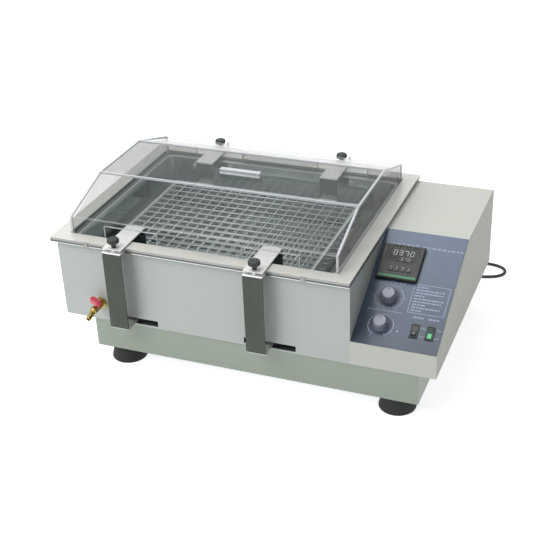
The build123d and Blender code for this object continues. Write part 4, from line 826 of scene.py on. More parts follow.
@dataclass
class Piece:
    """A mesh under construction that rides on one body."""

    name: str
    body: str
    finish: str
    slot: str
    shape: bmesh.types.BMesh = field(default_factory=bmesh.new)

    def block(self, low: Sequence[float], high: Sequence[float]) -> "Piece":
        """Adds a block.

        Args:
            low: Its lowest corner.
            high: Its highest corner.

        Returns:
            The piece itself.
        """
        size = Vector(high) - Vector(low)
        middle = (Vector(high) + Vector(low)) / 2
        self._cube(Matrix.Translation(middle) @ Matrix.Diagonal((*size, 1.0)))
        return self

    def beam(self, start: Vector, end: Vector, width: float, bevel: float, up: Vector) -> "Piece":
        """Adds a square bar between two points.

        Args:
            start: Its first end.
            end: Its other end.
            width: Its width and height.
            bevel: Width of its rounding.
            up: A direction that one of its sides faces.

        Returns:
            The piece itself.
        """
        along = (end - start).normalized()
        side = along.cross(up).normalized()
        frame = Matrix((along, side, side.cross(along))).transposed().to_4x4()
        size = Matrix.Diagonal(((end - start).length, width, width, 1.0))
        self._cube(Matrix.Translation((start + end) / 2) @ frame @ size, bevel)
        return self

    def _cube(self, matrix: Matrix, bevel: float = 0.0) -> None:
        """Adds a unit cube under a matrix.

        Args:
            matrix: What sizes, turns and places it.
            bevel: Width of the rounding of its edges, if any.
        """
        made = bmesh.ops.create_cube(self.shape, size=1.0, matrix=matrix)
        if bevel > 0:
            edges = list({edge for vertex in made["verts"] for edge in vertex.link_edges})
            bmesh.ops.bevel(
                self.shape, geom=edges, offset=bevel, segments=2, profile=0.5, affect="EDGES", material=-1
            )

    def rod(self, start: Vector, end: Vector, radius: float, sides: int, tip: float = 1.0) -> "Piece":
        """Adds a round bar or cone between two points.

        Args:
            start: Its first end.
            end: Its other end.
            radius: Its radius at the first end.
            sides: Number of its sides.
            tip: Radius of the other end as a part of the first.

        Returns:
            The piece itself.
        """
        turn = (end - start).to_track_quat("Z", "Y").to_matrix().to_4x4()
        bmesh.ops.create_cone(
            self.shape,
            cap_ends=True,
            segments=sides,
            radius1=radius,
            radius2=radius * tip,
            depth=(end - start).length,
            matrix=Matrix.Translation((start + end) / 2) @ turn,
        )
        return self

    def ring(
        self, centre: Vector, inner: float, outer: float, start: float = 0.0, sweep: float = 360.0
    ) -> "Piece":
        """Adds a printed ring or part of one, facing up.

        Args:
            centre: Its centre.
            inner: Its inner radius.
            outer: Its outer radius.
            start: Angle of its first end in degrees.
            sweep: Angle that it covers in degrees.

        Returns:
            The piece itself.
        """
        facet = 7.5
        angle = math.radians(start)
        ray = Vector((math.cos(angle), math.sin(angle), 0))
        first = self.shape.verts.new(centre + ray * inner)
        second = self.shape.verts.new(centre + ray * outer)
        edge = self.shape.edges.new((first, second))
        bmesh.ops.spin(
            self.shape,
            geom=[first, second, edge],
            cent=centre,
            axis=UP,
            angle=math.radians(sweep),
            steps=max(round(abs(sweep) / facet), 3),
            use_merge=abs(sweep) >= 360,
        )
        self._thicken(self._connected([*first.link_faces, *second.link_faces]))
        return self

    def _connected(self, faces: Iterable[bmesh.types.BMFace]) -> list[bmesh.types.BMFace]:
        """Follows edges from face to face.

        Args:
            faces: The faces to start from.

        Returns:
            All faces joined to them, with the faces themselves.
        """
        found = set(faces)
        queue = list(found)
        while queue:
            for edge in queue.pop().edges:
                for face in edge.link_faces:
                    if face not in found:
                        found.add(face)
                        queue.append(face)
        return list(found)

    def _thicken(self, faces: list[bmesh.types.BMFace]) -> None:
        """Raises flat faces into a closed slab of the ink's thickness.

        Args:
            faces: The faces, all in one plane.
        """
        bmesh.ops.recalc_face_normals(self.shape, faces=faces)
        raised = bmesh.ops.extrude_face_region(self.shape, geom=faces, use_keep_orig=True)
        moved = [item for item in raised["geom"] if isinstance(item, bmesh.types.BMVert)]
        bmesh.ops.translate(self.shape, verts=moved, vec=UP * INK)

    def words(self, text: str, centre: Vector, height: float) -> "Piece":
        """Adds plain figures or letters lying flat.

        Args:
            text: What they say.
            centre: Their middle.
            height: Their height.

        Returns:
            The piece itself.
        """
        size_per_height = 1.4
        curve = bpy.data.curves.new(self.name + "_figures", "FONT")
        curve.body = text
        curve.size = height * size_per_height
        curve.align_x = "CENTER"
        curve.align_y = "CENTER"
        curve.extrude = INK / 2
        curve.resolution_u = 3
        holder = bpy.data.objects.new(self.name + "_holder", curve)
        mesh = bpy.data.meshes.new_from_object(holder)
        before = set(self.shape.verts)
        self.shape.from_mesh(mesh)
        fresh = [vertex for vertex in self.shape.verts if vertex not in before]
        bmesh.ops.translate(self.shape, verts=fresh, vec=centre)
        bpy.data.objects.remove(holder)
        bpy.data.curves.remove(curve)
        bpy.data.meshes.remove(mesh)
        return self

    def finished(
        self,
        shop: FinishShop,
        place: Matrix | None = None,
        replaces: Iterable[str] = (),
        smooth: bool = False,
    ) -> None:
        """Turns the shape into an object that rides on its body.

        Args:
            shop: Where its finish comes from.
            place: Matrix that puts the shape in the scene, if it isn't there yet.
            replaces: Nodes that it stands for.
            smooth: Whether its faces are shaded smooth.
        """
        merged = 0.002 * MM
        if place is not None:
            bmesh.ops.transform(self.shape, matrix=place, verts=self.shape.verts)
        bmesh.ops.remove_doubles(self.shape, verts=self.shape.verts, dist=merged)
        bmesh.ops.recalc_face_normals(self.shape, faces=self.shape.faces)
        mesh = bpy.data.meshes.new(self.name)
        self.shape.to_mesh(mesh)
        self.shape.free()
        mesh.materials.append(shop.get(self.finish))
        if smooth:
            mesh.shade_smooth()
        piece = bpy.data.objects.new(self.name, mesh)
        bpy.context.scene.collection.objects.link(piece)
        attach(piece, self.body)
        for node in replaces:
            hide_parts(node)
        LOG.info("%s: %d faces on %s", self.name, len(mesh.polygons), self.body)


@dataclass
class Layout:
    """Places on the instrument, measured from under the front left corner of the tank's rim."""

    corner: Vector = field(default_factory=lambda: Vector((*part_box("tank")[0][:2], 0.0)))

    def at(self, x: float, y: float, z: float) -> Vector:
        """Point of the scene at X, Y and Z from the table under the rim's corner, in metres."""
        return self.corner + Vector((x, y, z))


@dataclass
class Studio:
    """Pale floor, soft lamps and the camera at the photograph's angle."""

    target: Pair = (0.3724, 0.1236)
    target_below_rim: float = 0.08
    azimuth: float = 22.264
    elevation: float = 29.286
    roll: float = -2.307
    distance: float = 1.947
    lens: float = 72.17
    sensor: float = 36.0
    view_depth: float = 50.0
    floor_size: float = 12.0
    floor_grey: float = 0.8
    floor_roughness: float = 0.9
    floor_glow: float = 0.75
    lamp_aim: float = 0.15
    lamp_size: float = 1.6
    room_light: float = 0.42
    shade_right: float = 0.75

    def camera(self, layout: Layout) -> None:
        """Puts the camera where the photograph was taken from.

        Args:
            layout: Places on the instrument.
        """
        azimuth, elevation, roll = (math.radians(a) for a in (self.azimuth, self.elevation, self.roll))
        flat = math.cos(elevation)
        back = Vector((math.sin(azimuth) * flat, -math.cos(azimuth) * flat, math.sin(elevation)))
        level = UP.cross(back).normalized()
        upward = back.cross(level)
        right = level * math.cos(roll) + upward * math.sin(roll)
        up = upward * math.cos(roll) - level * math.sin(roll)
        data = bpy.data.cameras.new("camera")
        data.sensor_width = self.sensor
        data.lens = self.lens
        data.clip_end = self.view_depth
        camera = bpy.data.objects.new("camera", data)
        target = layout.at(*self.target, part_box("tank")[1].z - self.target_below_rim)
        turn = Matrix((right, up, back)).transposed().to_4x4()
        camera.matrix_world = Matrix.Translation(target + back * self.distance) @ turn
        bpy.context.scene.collection.objects.link(camera)
        bpy.context.scene.camera = camera

    def lamp(self, name: str, place: tuple[float, float, float], power: float) -> None:
        """Adds one soft lamp that looks at the instrument.

        Args:
            name: Its name.
            place: Where it stands in metres.
            power: Its power in watts.
        """
        data = bpy.data.lights.new(name, "AREA")
        data.shape = "SQUARE"
        data.size = self.lamp_size
        data.energy = power
        lamp = bpy.data.objects.new(name, data)
        lamp.location = place
        lamp.rotation_euler = (UP * self.lamp_aim - Vector(place)).to_track_quat("-Z", "Y").to_euler()
        bpy.context.scene.collection.objects.link(lamp)

    def floor(self) -> None:
        """Lays the pale floor, white to the camera except under the instrument's shadow."""
        shape = bmesh.new()
        bmesh.ops.create_grid(shape, x_segments=1, y_segments=1, size=self.floor_size / 2)
        mesh = bpy.data.meshes.new("floor")
        shape.to_mesh(mesh)
        shape.free()
        floor = bpy.data.objects.new("floor", mesh)
        bpy.context.scene.collection.objects.link(floor)
        recipe = Recipe("floor_white")
        grey = (self.floor_grey, self.floor_grey, self.floor_grey, 1.0)
        recipe.set(Base_Color=grey, Roughness=self.floor_roughness)
        recipe.set(Emission_Color=WHITE, Emission_Strength=self.shown(recipe.tree) * self.floor_glow)
        mesh.materials.append(recipe.material)

    def shown(self, tree: bpy.types.NodeTree) -> Value:
        """Tells the rays that show the white background from those that carry light.

        Args:
            tree: The node tree that asks.

        Returns:
            One for camera, glossy and transmission rays, nothing for the others.
        """
        path = tree.nodes.new("ShaderNodeLightPath")
        rays = [Value(tree, path.outputs[f"Is {kind} Ray"]) for kind in ("Camera", "Glossy", "Transmission")]
        return rays[0].math("MINIMUM", rays[0] + rays[1] + rays[2], 1.0)

    def world(self) -> None:
        """Lights the room, less from the right, and shows it white."""
        world = bpy.data.worlds.new("room")
        world.use_nodes = True
        tree = world.node_tree
        tree.nodes.clear()
        background = tree.nodes.new("ShaderNodeBackground")
        place = tree.nodes.new("ShaderNodeTexCoord")
        parts = tree.nodes.new("ShaderNodeSeparateXYZ")
        tree.links.new(place.outputs["Generated"], parts.inputs["Vector"])
        lit = (1 - Value(tree, parts.outputs["X"]) * self.shade_right) * self.room_light
        shown = self.shown(tree)
        strength = lit * (1 - shown) + shown
        tree.links.new(strength.socket, background.inputs["Strength"])
        output = tree.nodes.new("ShaderNodeOutputWorld")
        tree.links.new(background.outputs[0], output.inputs["Surface"])
        background.inputs["Color"].default_value = WHITE
        bpy.context.scene.world = world

    def build(self, layout: Layout) -> None:
        """Sets up the whole studio.

        Args:
            layout: Places on the instrument.
        """
        self.camera(layout)
        self.floor()
        self.world()
        self.lamp("key_lamp", place=(-1.2, -1.6, 2.2), power=34.0)
        self.lamp("top_lamp", place=(-0.6, 0.4, 2.5), power=24.0)
        bpy.context.scene.view_settings.view_transform = "Standard"
        LOG.info("studio: camera, floor, room and two lamps")


@dataclass
class WireShelf:
    """Welded shelf of round wires in two layers inside the rack's rails."""

    node: str
    pitch: float = 0.0198
    radius: float = 0.0014
    upper_lift: float = 0.8
    sides: int = 8

    def build(self, shop: FinishShop) -> None:
        """Builds the wires in place of the flat shelf.

        Args:
            shop: Where the finish comes from.
        """
        low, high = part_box(self.node)
        middle = (low.z + high.z) / 2
        piece = Piece(self.node + "_wires", "shaker_carriage", "wire_steel", "hanger_steel")
        for x in self._stations(low.x, high.x):
            start = Vector((x, low.y, middle - self.radius))
            piece.rod(start, Vector((x, high.y, start.z)), self.radius, self.sides)
        for y in self._stations(low.y, high.y):
            start = Vector((low.x, y, middle + self.radius * self.upper_lift))
            piece.rod(start, Vector((high.x, y, start.z)), self.radius, self.sides)
        piece.finished(shop, replaces=[self.node], smooth=True)

    def _stations(self, low: float, high: float) -> list[float]:
        """Spreads the wires evenly between two rails.

        Args:
            low: Place of the first rail.
            high: Place of the other rail.

        Returns:
            Places of the wires.
        """
        count = round((high - low) / self.pitch)
        step = (high - low) / count
        return [low + step * index for index in range(1, count)]


@dataclass
class LidHighlights:
    """Painted highlights on the clear lid: bright along its cut edges, fainter along its bends, and bright
    at its handle's foot.
    """

    CRESTS: ClassVar[tuple[int, int]] = (2, 3)
    LIPS: ClassVar[tuple[int, int]] = (1, 4)

    lip: float = 0.0357
    crest: float = 0.1135
    edge: float = 0.004
    proud: float = 0.0002
    fold: float = 0.0022
    bevel: float = 0.0006
    notch_edge: float = 0.0015
    notch_width: float = 0.1
    notch_top: float = 0.02
    notch_shift: float = 0.014
    strap_half: float = 0.0175
    glint_inset: float = 0.001
    glint_proud: float = 0.0001
    glint_depth: float = 0.0003
    glint_top: float = 0.0024

    @property
    def half(self) -> float:
        """How far the middle of an edge's bar stands inside the lid's outer face."""
        return self.edge / 2 - self.proud

    def outline(self, x: float) -> list[Vector]:
        """Follows the lid's end just inside its outer face.

        Args:
            x: Where the end stands.

        Returns:
            Its corners, from the front foot over the top to the rear foot.
        """
        low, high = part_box("lid_cover")
        lip_z = low.z + self.lip
        steps = (
            (low.y, low.z),
            (low.y, lip_z),
            (low.y + self.crest, high.z),
            (high.y - self.crest, high.z),
            (high.y, lip_z),
            (high.y, low.z),
        )
        middle = (low + high) / 2
        corners = []
        for y, z in steps:
            inward_y = math.copysign(self.half, middle.y - y)
            inward_z = math.copysign(self.half, middle.z - z)
            corners.append(Vector((x, y + inward_y, z + inward_z)))
        return corners

    def build(self, shop: FinishShop) -> None:
        """Lays painted highlights: a bright bar along the ends and the crests, and a faint one along the
        folds.

        Args:
            shop: Where the finishes come from.
        """
        low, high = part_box("lid_cover")
        ends = [self.outline(x) for x in (low.x + self.half, high.x - self.half)]
        edges = Piece("lid_edge_highlights", "lid", "clear_highlight", "clear_sheet")
        folds = Piece("lid_fold_highlights", "lid", "clear_fold_highlight", "clear_sheet")
        for end in ends:
            for start, stop in zip(end, end[1:]):
                edges.beam(start, stop, self.edge, self.bevel, SIDEWAYS)
            folds.beam(end[0], end[-1], self.fold, self.bevel, UP)
        for index in self.CRESTS:
            edges.beam(ends[0][index], ends[1][index], self.edge, self.bevel, UP)
        self.notches(edges)
        for index in self.LIPS:
            folds.beam(ends[0][index], ends[1][index], self.fold, self.bevel, UP)
        edges.finished(shop)
        folds.finished(shop)
        self.handle(shop)

    def notches(self, edges: Piece) -> None:
        """Lays a thin bright bar, a painted highlight, round each of the four notches.

        Args:
            edges: The piece that the bars join.
        """
        low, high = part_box("lid_cover")
        left_strap, right_strap = (corner.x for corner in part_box("clamp_straps"))
        inset = self.notch_edge / 2
        reach = self.notch_width / 2 + inset
        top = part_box("tank")[1].z + self.notch_top + inset
        for middle in (left_strap + self.strap_half, right_strap - self.strap_half):
            centre = middle + self.notch_shift
            for y in (low.y + inset, high.y - inset):
                for x in (centre - reach, centre + reach):
                    edges.beam(Vector((x, y, low.z)), Vector((x, y, top)), self.notch_edge, 0.0, BACK)
                start, stop = Vector((centre - reach, y, top)), Vector((centre + reach, y, top))
                edges.beam(start, stop, self.notch_edge, 0.0, UP)

    def handle(self, shop: FinishShop) -> None:
        """Lays a bright strip, a painted highlight, along the foot of the handle's front face.

        Args:
            shop: Where the finish comes from.
        """
        low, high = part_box("lid_handle")
        glint = Piece("handle_highlight", "lid", "clear_glint", "clear_sheet")
        glint.block(
            (low.x + self.glint_inset, low.y - self.glint_proud, low.z + self.glint_proud),
            (high.x - self.glint_inset, low.y + self.glint_depth, low.z + self.glint_top),
        )
        glint.finished(shop)


@dataclass(frozen=True)
class Panel:
    """Sloping face of the control housing; U runs to its right and V up it, in millimetres."""

    run: float = 214.0
    slope: float = 237.8
    lip: float = 44.0
    dial_u: float = 41.5
    dial_v: Pair = (97.0, 41.0)
    switch_u: Pair = (99.0, 125.2)

    def place(self) -> Matrix:
        """Finds the face in the scene.

        Returns:
            Matrix from U, V and the way off the face, in metres, to the scene.
        """
        low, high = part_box("control_housing")
        lip = self.lip * MM
        angle = math.atan2(high.z - low.z - lip, self.run * MM)
        return Matrix.Translation((low.x, low.y, low.z + lip)) @ Matrix.Rotation(angle, 4, "X")


@dataclass(frozen=True)
class PrintRow:
    """Line of small print: U of its ends, V of its middle and its height, in millimetres."""

    start: float
    end: float
    v: float
    height: float


@dataclass(frozen=True)
class DialScale:
    """Scale round a dial: V of its centre, its radius in millimetres and the step of its figures."""

    v: float
    radius: float
    step: int


@dataclass
class PanelPrint:
    """Printed marks on the sloping panel, in its own directions and in millimetres."""

    panel: Panel
    lift: float = 1.25
    word_lengths: tuple[float, ...] = (7.0, 4.5, 9.0, 5.5, 8.0, 4.0)
    word_gap: float = 0.45
    scale_radii: Pair = (25.0, 22.0)
    scale_steps: tuple[int, int] = (20, 1)
    scale_figures: int = 6
    dial_disc: Pair = (12.5, 18.5)
    arc_width: float = 1.3
    arc_start: float = -60.0
    arc_sweep: float = 300.0
    tick_length: float = 4.0
    tick_radius: float = 0.6
    figure_gap: float = 3.2
    figure_height: float = 3.0
    note_low: Pair = (78.0, 74.0)
    note_high: Pair = (139.0, 131.0)
    note_line: float = 1.2
    note_side: float = 4.0
    note_end: float = 2.0
    rule_height: float = 2.6
    rule_lengths: tuple[float, ...] = (0.36, 0.92, 0.88, 0.3, 0.95, 0.86, 0.42, 0.9, 0.34)
    captions: tuple[PrintRow, ...] = (
        PrintRow(start=10, end=66, v=208.5, height=4.0),
        PrintRow(start=72, end=142, v=207.5, height=4.4),
        PrintRow(start=26, end=62, v=127, height=2.8),
        PrintRow(start=12, end=66, v=69.5, height=2.8),
    )
    switch_caption: PrintRow = PrintRow(start=-9, end=9, v=66, height=3.0)
    switch_word_u: float = 12.2
    switch_words: tuple[tuple[str, float, float], ...] = (("ON", 47, 4.2), ("OFF", 31, 3.6))
    dot: Pair = (71.5, 34.0)
    dot_radii: Pair = (0.2, 2.0)
    margin_low: tuple[float, float, float] = (0.0, 0.6, 0.02)
    margin_width: float = 2.4
    margin_top: float = 0.3

    def spot(self, u: float, v: float) -> Vector:
        """Point on the printed face."""
        return Vector((u, v, self.lift)) * MM

    def line(self, piece: Piece, start: Pair, end: Pair, width: float) -> None:
        """Adds one printed line.

        Args:
            piece: The ink that it joins.
            start: U and V of its end nearest the panel's lower left corner.
            end: U and V of its other end.
            width: Its width in millimetres.
        """
        low = self.spot(start[0] - width / 2, start[1] - width / 2)
        high = self.spot(end[0] + width / 2, end[1] + width / 2)
        piece.block(low, high + UP * INK)

    def dashes(self, ink: Piece, row: PrintRow) -> None:
        """Adds a row of short blocks that stands for a line of small print.

        Args:
            ink: The ink that it joins.
            row: Where it runs.
        """
        half = row.height / 2
        u, index = row.start, 0
        while u < row.end:
            length = min(self.word_lengths[index % len(self.word_lengths)], row.end - u)
            self.line(ink, (u + half, row.v), (u + max(length - half, half), row.v), row.height)
            u += length + row.height * self.word_gap
            index += 1

    def dial_scale(self, ink: Piece, dark: Piece, scale: DialScale) -> None:
        """Adds a dial's dark disc, scale arc, ticks and figures, which rise clockwise.

        Args:
            ink: The pale ink.
            dark: The dark ink.
            scale: The scale.
        """
        centre = self.spot(self.panel.dial_u, scale.v)
        outer = scale.radius
        inner_disc, outer_disc = self.dial_disc
        dark.ring(centre, inner_disc * MM, outer_disc * MM)
        ink.ring(centre, (outer - self.arc_width) * MM, outer * MM, self.arc_start, self.arc_sweep)
        for index in range(self.scale_figures):
            left = 1 - index / (self.scale_figures - 1)
            angle = math.radians(self.arc_start + self.arc_sweep * left)
            ray = Vector((math.cos(angle), math.sin(angle), 0)) * MM
            tick_foot = centre + ray * (outer - self.tick_length)
            ink.rod(tick_foot, centre + ray * outer, self.tick_radius * MM, sides=4)
            figure_middle = centre + ray * (outer + self.figure_gap)
            ink.words(str(index * scale.step), figure_middle, self.figure_height * MM)

    def note_box(self, ink: Piece) -> None:
        """Adds the outlined box with plain rules of uneven length.

        Args:
            ink: The ink that it joins.
        """
        (left, low), (right, high) = self.note_low, self.note_high
        for v in (low, high):
            self.line(ink, (left, v), (right, v), self.note_line)
        for u in (left, right):
            self.line(ink, (u, low), (u, high), self.note_line)
        start, reach = left + self.note_side, right - left - 2 * self.note_side
        pitch = (high - low - 2 * self.note_end) / len(self.rule_lengths)
        for index, length in enumerate(self.rule_lengths):
            v = high - self.note_end - (index + 0.5) * pitch
            self.dashes(ink, PrintRow(start, start + reach * length, v, self.rule_height))

    def switch_marks(self, ink: Piece, u: float) -> None:
        """Adds the caption and the two words of one switch.

        Args:
            ink: The ink that they join.
            u: U of the switch.
        """
        row = self.switch_caption
        self.dashes(ink, PrintRow(u + row.start, u + row.end, row.v, row.height))
        for word, v, height in self.switch_words:
            ink.words(word, self.spot(u + self.switch_word_u, v), height * MM)

    def build(self, shop: FinishShop) -> None:
        """Builds the printed marks.

        Args:
            shop: Where the inks come from.
        """
        place = self.panel.place()
        ink = Piece("panel_marks", "instrument", "pale_ink", "panel_print")
        dark = Piece("panel_rings", "instrument", "dark_ink", "panel_print")
        for v, radius, step in zip(self.panel.dial_v, self.scale_radii, self.scale_steps):
            self.dial_scale(ink, dark, DialScale(v, radius, step))
        self.note_box(ink)
        faint = Piece("panel_small_print", "instrument", "faint_ink", "panel_print")
        for row in self.captions:
            self.dashes(faint, row)
        faint.finished(shop, place)
        margin = Piece("panel_margin", "instrument", "panel_paint", "panel_print")
        margin_high = Vector((self.margin_width, self.panel.slope, self.margin_top))
        margin.block(Vector(self.margin_low) * MM, margin_high * MM)
        margin.finished(shop, place)
        for u in self.panel.switch_u:
            self.switch_marks(ink, u)
        hole, rim = self.dot_radii
        ink.ring(self.spot(*self.dot), hole * MM, rim * MM)
        ink.finished(shop, place)
        dark.finished(shop, place)


@dataclass(frozen=True)
class FigureRow:
    """Row of lit figures, placed from the controller's centre in millimetres."""

    text: str
    start: float
    pitch: float
    v: float
    height: float


@dataclass
class ControllerFace:
    """Lit figures, key marks and the coloured band on the temperature controller."""

    SEGMENTS: ClassVar[dict[str, str]] = {"0": "abcdef", "3": "abgcd", "7": "abc"}
    BARS: ClassVar[dict[str, tuple[int, int, int, int]]] = {
        "a": (-1, 1, 1, 1),
        "b": (1, 0, 1, 1),
        "c": (1, -1, 1, 0),
        "d": (-1, -1, 1, -1),
        "e": (-1, -1, -1, 0),
        "f": (-1, 0, -1, 1),
        "g": (-1, 0, 1, 0),
    }

    centre: Pair = (43.5, 167.0)
    face: float = 8.2
    clear: float = 0.02
    thickness: float = 0.12
    half_width: float = 0.27
    stroke: float = 0.06
    rows: tuple[FigureRow, ...] = (
        FigureRow("0370", start=-13, pitch=9.8, v=18, height=9.5),
        FigureRow("370", start=1, pitch=6, v=5.5, height=5.5),
    )
    keys: int = 4
    key_shift: float = 2.75
    key_pitch: float = 10.5
    mark_size: Pair = (2.8, 1.6)
    mark_v: float = -13.6
    band_low: Pair = (-31.0, -33.0)
    band_high: Pair = (33.0, -29.0)

    def figure(self, piece: Piece, digit: str, u: float, v: float, height: float) -> None:
        """Adds one seven-segment figure.

        Args:
            piece: The lit piece that it joins.
            digit: The figure.
            u: U of its middle.
            v: V of its middle.
            height: Its height in millimetres.
        """
        half_w, half_h, thick = height * self.half_width, height / 2, height * self.stroke
        for key in self.SEGMENTS[digit]:
            left, foot, right, head = self.BARS[key]
            low = (u + left * half_w - thick, v + foot * half_h - thick, self.face + self.clear)
            high = (u + right * half_w + thick, v + head * half_h + thick, self.face + self.thickness)
            piece.block(Vector(low) * MM, Vector(high) * MM)

    def build(self, shop: FinishShop, place: Matrix) -> None:
        """Builds the figures, the key marks and the band.

        Args:
            shop: Where the finishes come from.
            place: Matrix from the panel to the scene.
        """
        u, v = self.centre
        top = self.face + self.thickness
        figures = Piece("controller_figures", "instrument", "figure_light", "black_plastic")
        for row in self.rows:
            for index, digit in enumerate(row.text):
                self.figure(figures, digit, u + row.start + index * row.pitch, v + row.v, row.height)
        figures.finished(shop, place)
        marks = Piece("controller_marks", "instrument", "white_ink", "black_plastic")
        width, height = self.mark_size
        for index in range(self.keys):
            left = u + self.key_shift + (index - (self.keys - 1) / 2) * self.key_pitch - width / 2
            low = Vector((left, v + self.mark_v, self.face))
            high = Vector((left + width, v + self.mark_v + height, top))
            marks.block(low * MM, high * MM)
        marks.finished(shop, place)
        band = Piece("controller_band", "instrument", "green_ink", "black_plastic")
        low = Vector((u + self.band_low[0], v + self.band_low[1], self.face))
        high = Vector((u + self.band_high[0], v + self.band_high[1], top))
        band.block(low * MM, high * MM)
        band.finished(shop, place)


@dataclass
class ControlTrim:
    """Pale cap and pointer of each dial, and the lit strip and plain mark of the two rockers."""

    panel: Panel
    dial_top: float = 16.2
    skirt_top: float = 6.6
    cap_radius: float = 11.1
    cap_sides: int = 48
    cap_rounding: float = 1.2
    cap_tip: float = 0.9
    cap_proud: float = 0.05
    pointer_foot: float = 4.0
    pointer_size: tuple[float, float, float] = (1.2, 5.5, 0.15)
    switch_v: float = 39.5
    pivot: float = -0.8
    crest: float = 3.5
    tilt: float = 8.0
    strip_low: tuple[float, float, float] = (-3.2, -9.6, 0.02)
    strip_high: tuple[float, float, float] = (3.2, -0.5, 0.2)
    mark_low: tuple[float, float, float] = (-1.6, -7.2, 0.02)
    mark_high: tuple[float, float, float] = (1.6, -3.4, 0.15)

    def cap(self, shop: FinishShop, place: Matrix, body: str, v: float) -> None:
        """Covers one dial's grip with a pale cap and draws its pointer.

        Args:
            shop: Where the finishes come from.
            place: Matrix from the panel to the scene.
            body: Body of the dial.
            v: V of the dial's centre in millimetres.
        """
        levels = (self.skirt_top, self.dial_top - self.cap_rounding, self.dial_top + self.cap_proud)
        foot, shoulder, top = (Vector((self.panel.dial_u, v, level)) * MM for level in levels)
        cap = Piece(body + "_cap", body, "dial_face", "grey_plastic")
        cap.rod(foot, shoulder, self.cap_radius * MM, self.cap_sides)
        cap.rod(shoulder, top, self.cap_radius * MM, self.cap_sides, self.cap_tip)
        cap.finished(shop, place)
        pointer = Piece(body + "_pointer", body, "dark_ink", "grey_plastic")
        left = self.panel.dial_u - self.pointer_size[0] / 2
        low = Vector((left, v + self.pointer_foot, self.dial_top))
        pointer.block(low * MM, (low + Vector(self.pointer_size)) * MM)
        pointer.finished(shop, place)

    def lower_face(self, u: float, side: int) -> Matrix:
        """Finds the lower of a rocker's two sloping faces.

        Args:
            u: U of the rocker in millimetres.
            side: 1 or -1, the way that the rocker leans at rest.

        Returns:
            Matrix to the panel; its Z stands off the face and its Y runs up the panel.
        """
        pivot = Matrix.Translation(Vector((u, self.switch_v, self.pivot)) * MM)
        lean = Matrix.Rotation(math.radians(side * self.tilt), 4, "X")
        slope = Matrix.Rotation(math.radians(-self.tilt), 4, "X")
        return pivot @ lean @ Matrix.Translation((0, 0, self.crest * MM)) @ slope

    def build(self, shop: FinishShop, place: Matrix) -> None:
        """Builds the trims of dials and rockers.

        Args:
            shop: Where the finishes come from.
            place: Matrix from the panel to the scene.
        """
        for body, v in zip(("timer_dial", "speed_dial"), self.panel.dial_v):
            self.cap(shop, place, body, v)
        shaker_u, power_u = self.panel.switch_u
        strip = Piece("power_rocker_light", "power_switch", "rocker_lit", "green_rocker")
        strip.block(Vector(self.strip_low) * MM, Vector(self.strip_high) * MM)
        strip.finished(shop, place @ self.lower_face(power_u, 1))
        mark = Piece("shaker_rocker_mark", "shaker_switch", "grey_mark", "black_plastic")
        mark.block(Vector(self.mark_low) * MM, Vector(self.mark_high) * MM)
        mark.finished(shop, place @ self.lower_face(shaker_u, -1))


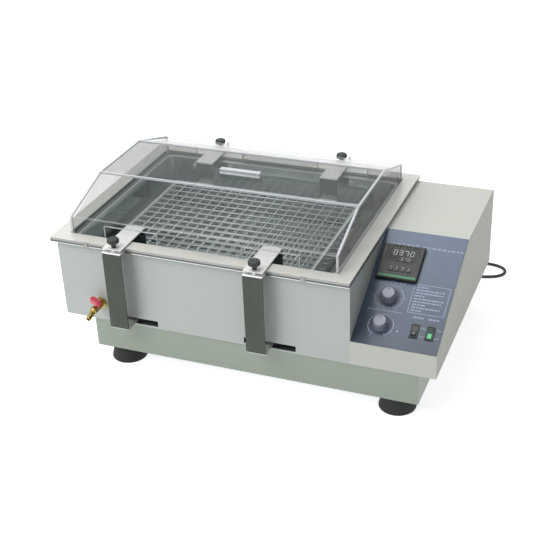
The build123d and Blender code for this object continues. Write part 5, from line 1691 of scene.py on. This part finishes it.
@dataclass
class MainsCord:
    """Mains cord: a fall from the housing, a loop on the table and a put-away coil."""

    radius: float = 0.0032
    route: tuple[tuple[float, float, float], ...] = (
        (0.634, 0.458, 0.112),
        (0.634, 0.476, 0.112),
        (0.6345, 0.492, 0.098),
        (0.6355, 0.5, 0.073),
        (0.637, 0.504, 0.046),
        (0.64, 0.508, 0.02),
        (0.652, 0.515, 0.006),
        (0.672, 0.523, 0.0033),
        (0.694, 0.531, 0.0033),
        (0.707, 0.546, 0.0033),
        (0.7055, 0.564, 0.0033),
        (0.692, 0.576, 0.0033),
        (0.667, 0.5805, 0.0033),
        (0.633, 0.582, 0.0033),
        (0.598, 0.5795, 0.0033),
        (0.5668, 0.57725, 0.0044),
        (0.5328, 0.57725, 0.0044),
    )
    coil_centre: Pair = (0.52, 0.5325)
    coil_inner: float = 0.0255
    pitch: float = 0.007
    layer_turns: float = 2.5
    climb_turns: float = 0.5
    layers: Pair = (0.0044, 0.0114)
    points_per_turn: int = 16
    tail: float = 0.026

    def coil(self) -> list[tuple[float, float, float]]:
        """Control points of the coil, a little outside its turns so that the curve meets them.

        Returns:
            The points, measured from under the rim's corner in metres.
        """
        total = 2 * self.layer_turns + self.climb_turns
        count = round(total * self.points_per_turn)
        swell = 1 / math.cos(math.pi / self.points_per_turn)
        middle = self.layer_turns + self.climb_turns / 2
        lower, upper = self.layers
        points = []
        for index in range(count + 1):
            turns = total * index / count
            radius = (self.coil_inner + self.pitch * abs(turns - middle)) * swell
            angle = math.radians(90 + 360 * turns)
            climbed = min(max((turns - self.layer_turns) / self.climb_turns, 0.0), 1.0)
            x = self.coil_centre[0] + radius * math.cos(angle)
            y = self.coil_centre[1] + radius * math.sin(angle)
            points.append((x, y, lower + (upper - lower) * climbed))
        return points

    def curve(self, points: list[Vector]) -> bpy.types.Curve:
        """Draws the cord through its control points.

        Args:
            points: The points in the scene.

        Returns:
            One smooth round curve.
        """
        curve = bpy.data.curves.new("mains_cord", "CURVE")
        curve.dimensions = "3D"
        spline = curve.splines.new("NURBS")
        spline.points.add(len(points) - 1)
        for control, point in zip(spline.points, points):
            control.co = (*point, 1.0)
        spline.order_u = 3
        spline.use_endpoint_u = True
        spline.resolution_u = 6
        curve.bevel_depth = self.radius
        curve.bevel_resolution = 3
        curve.use_fill_caps = True
        return curve

    def build(self, shop: FinishShop, layout: Layout) -> None:
        """Builds the cord.

        Args:
            shop: Where the rubber comes from.
            layout: Places on the instrument.
        """
        coil = self.coil()
        end = (self.coil_centre[0] + self.tail, *coil[-1][1:])
        points = [layout.at(*point) for point in (*self.route, *coil, end)]
        cord = bpy.data.objects.new("mains_cord", self.curve(points))
        cord.data.materials.append(shop.get("cord_rubber"))
        bpy.context.scene.collection.objects.link(cord)
        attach(cord, "instrument")
        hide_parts("power_cord", "cord_coil")
        length = self.length(cord)
        LOG.info("mains_cord: %.3f m", length)

    def length(self, cord: bpy.types.Object) -> float:
        """Length of the cord's centre line.

        Args:
            cord: The curve.

        Returns:
            The length in metres.
        """
        bare = cord.data.copy()
        bare.bevel_depth = 0.0
        holder = bpy.data.objects.new("cord_line", bare)
        line = bpy.data.meshes.new_from_object(holder)
        places = [vertex.co for vertex in line.vertices]
        total = sum((places[edge.vertices[0]] - places[edge.vertices[1]]).length for edge in line.edges)
        bpy.data.objects.remove(holder)
        bpy.data.meshes.remove(line)
        bpy.data.curves.remove(bare)
        return total


def main() -> None:
    """Loads the frame, dresses it and reports each piece."""
    logging.basicConfig(level=logging.INFO, format="%(name)s %(message)s")
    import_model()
    layout = Layout()
    Studio().build(layout)
    shop = FinishShop(Levels.read())
    shop.dress_nodes()
    MainsCord().build(shop, layout)
    WireShelf("upper_mesh").build(shop)
    WireShelf("lower_mesh").build(shop)
    LidHighlights().build(shop)
    panel = Panel()
    PanelPrint(panel).build(shop)
    ControllerFace().build(shop, panel.place())
    ControlTrim(panel).build(shop, panel.place())
    bpy.context.view_layer.update()


if __name__ == "__main__":
    main()
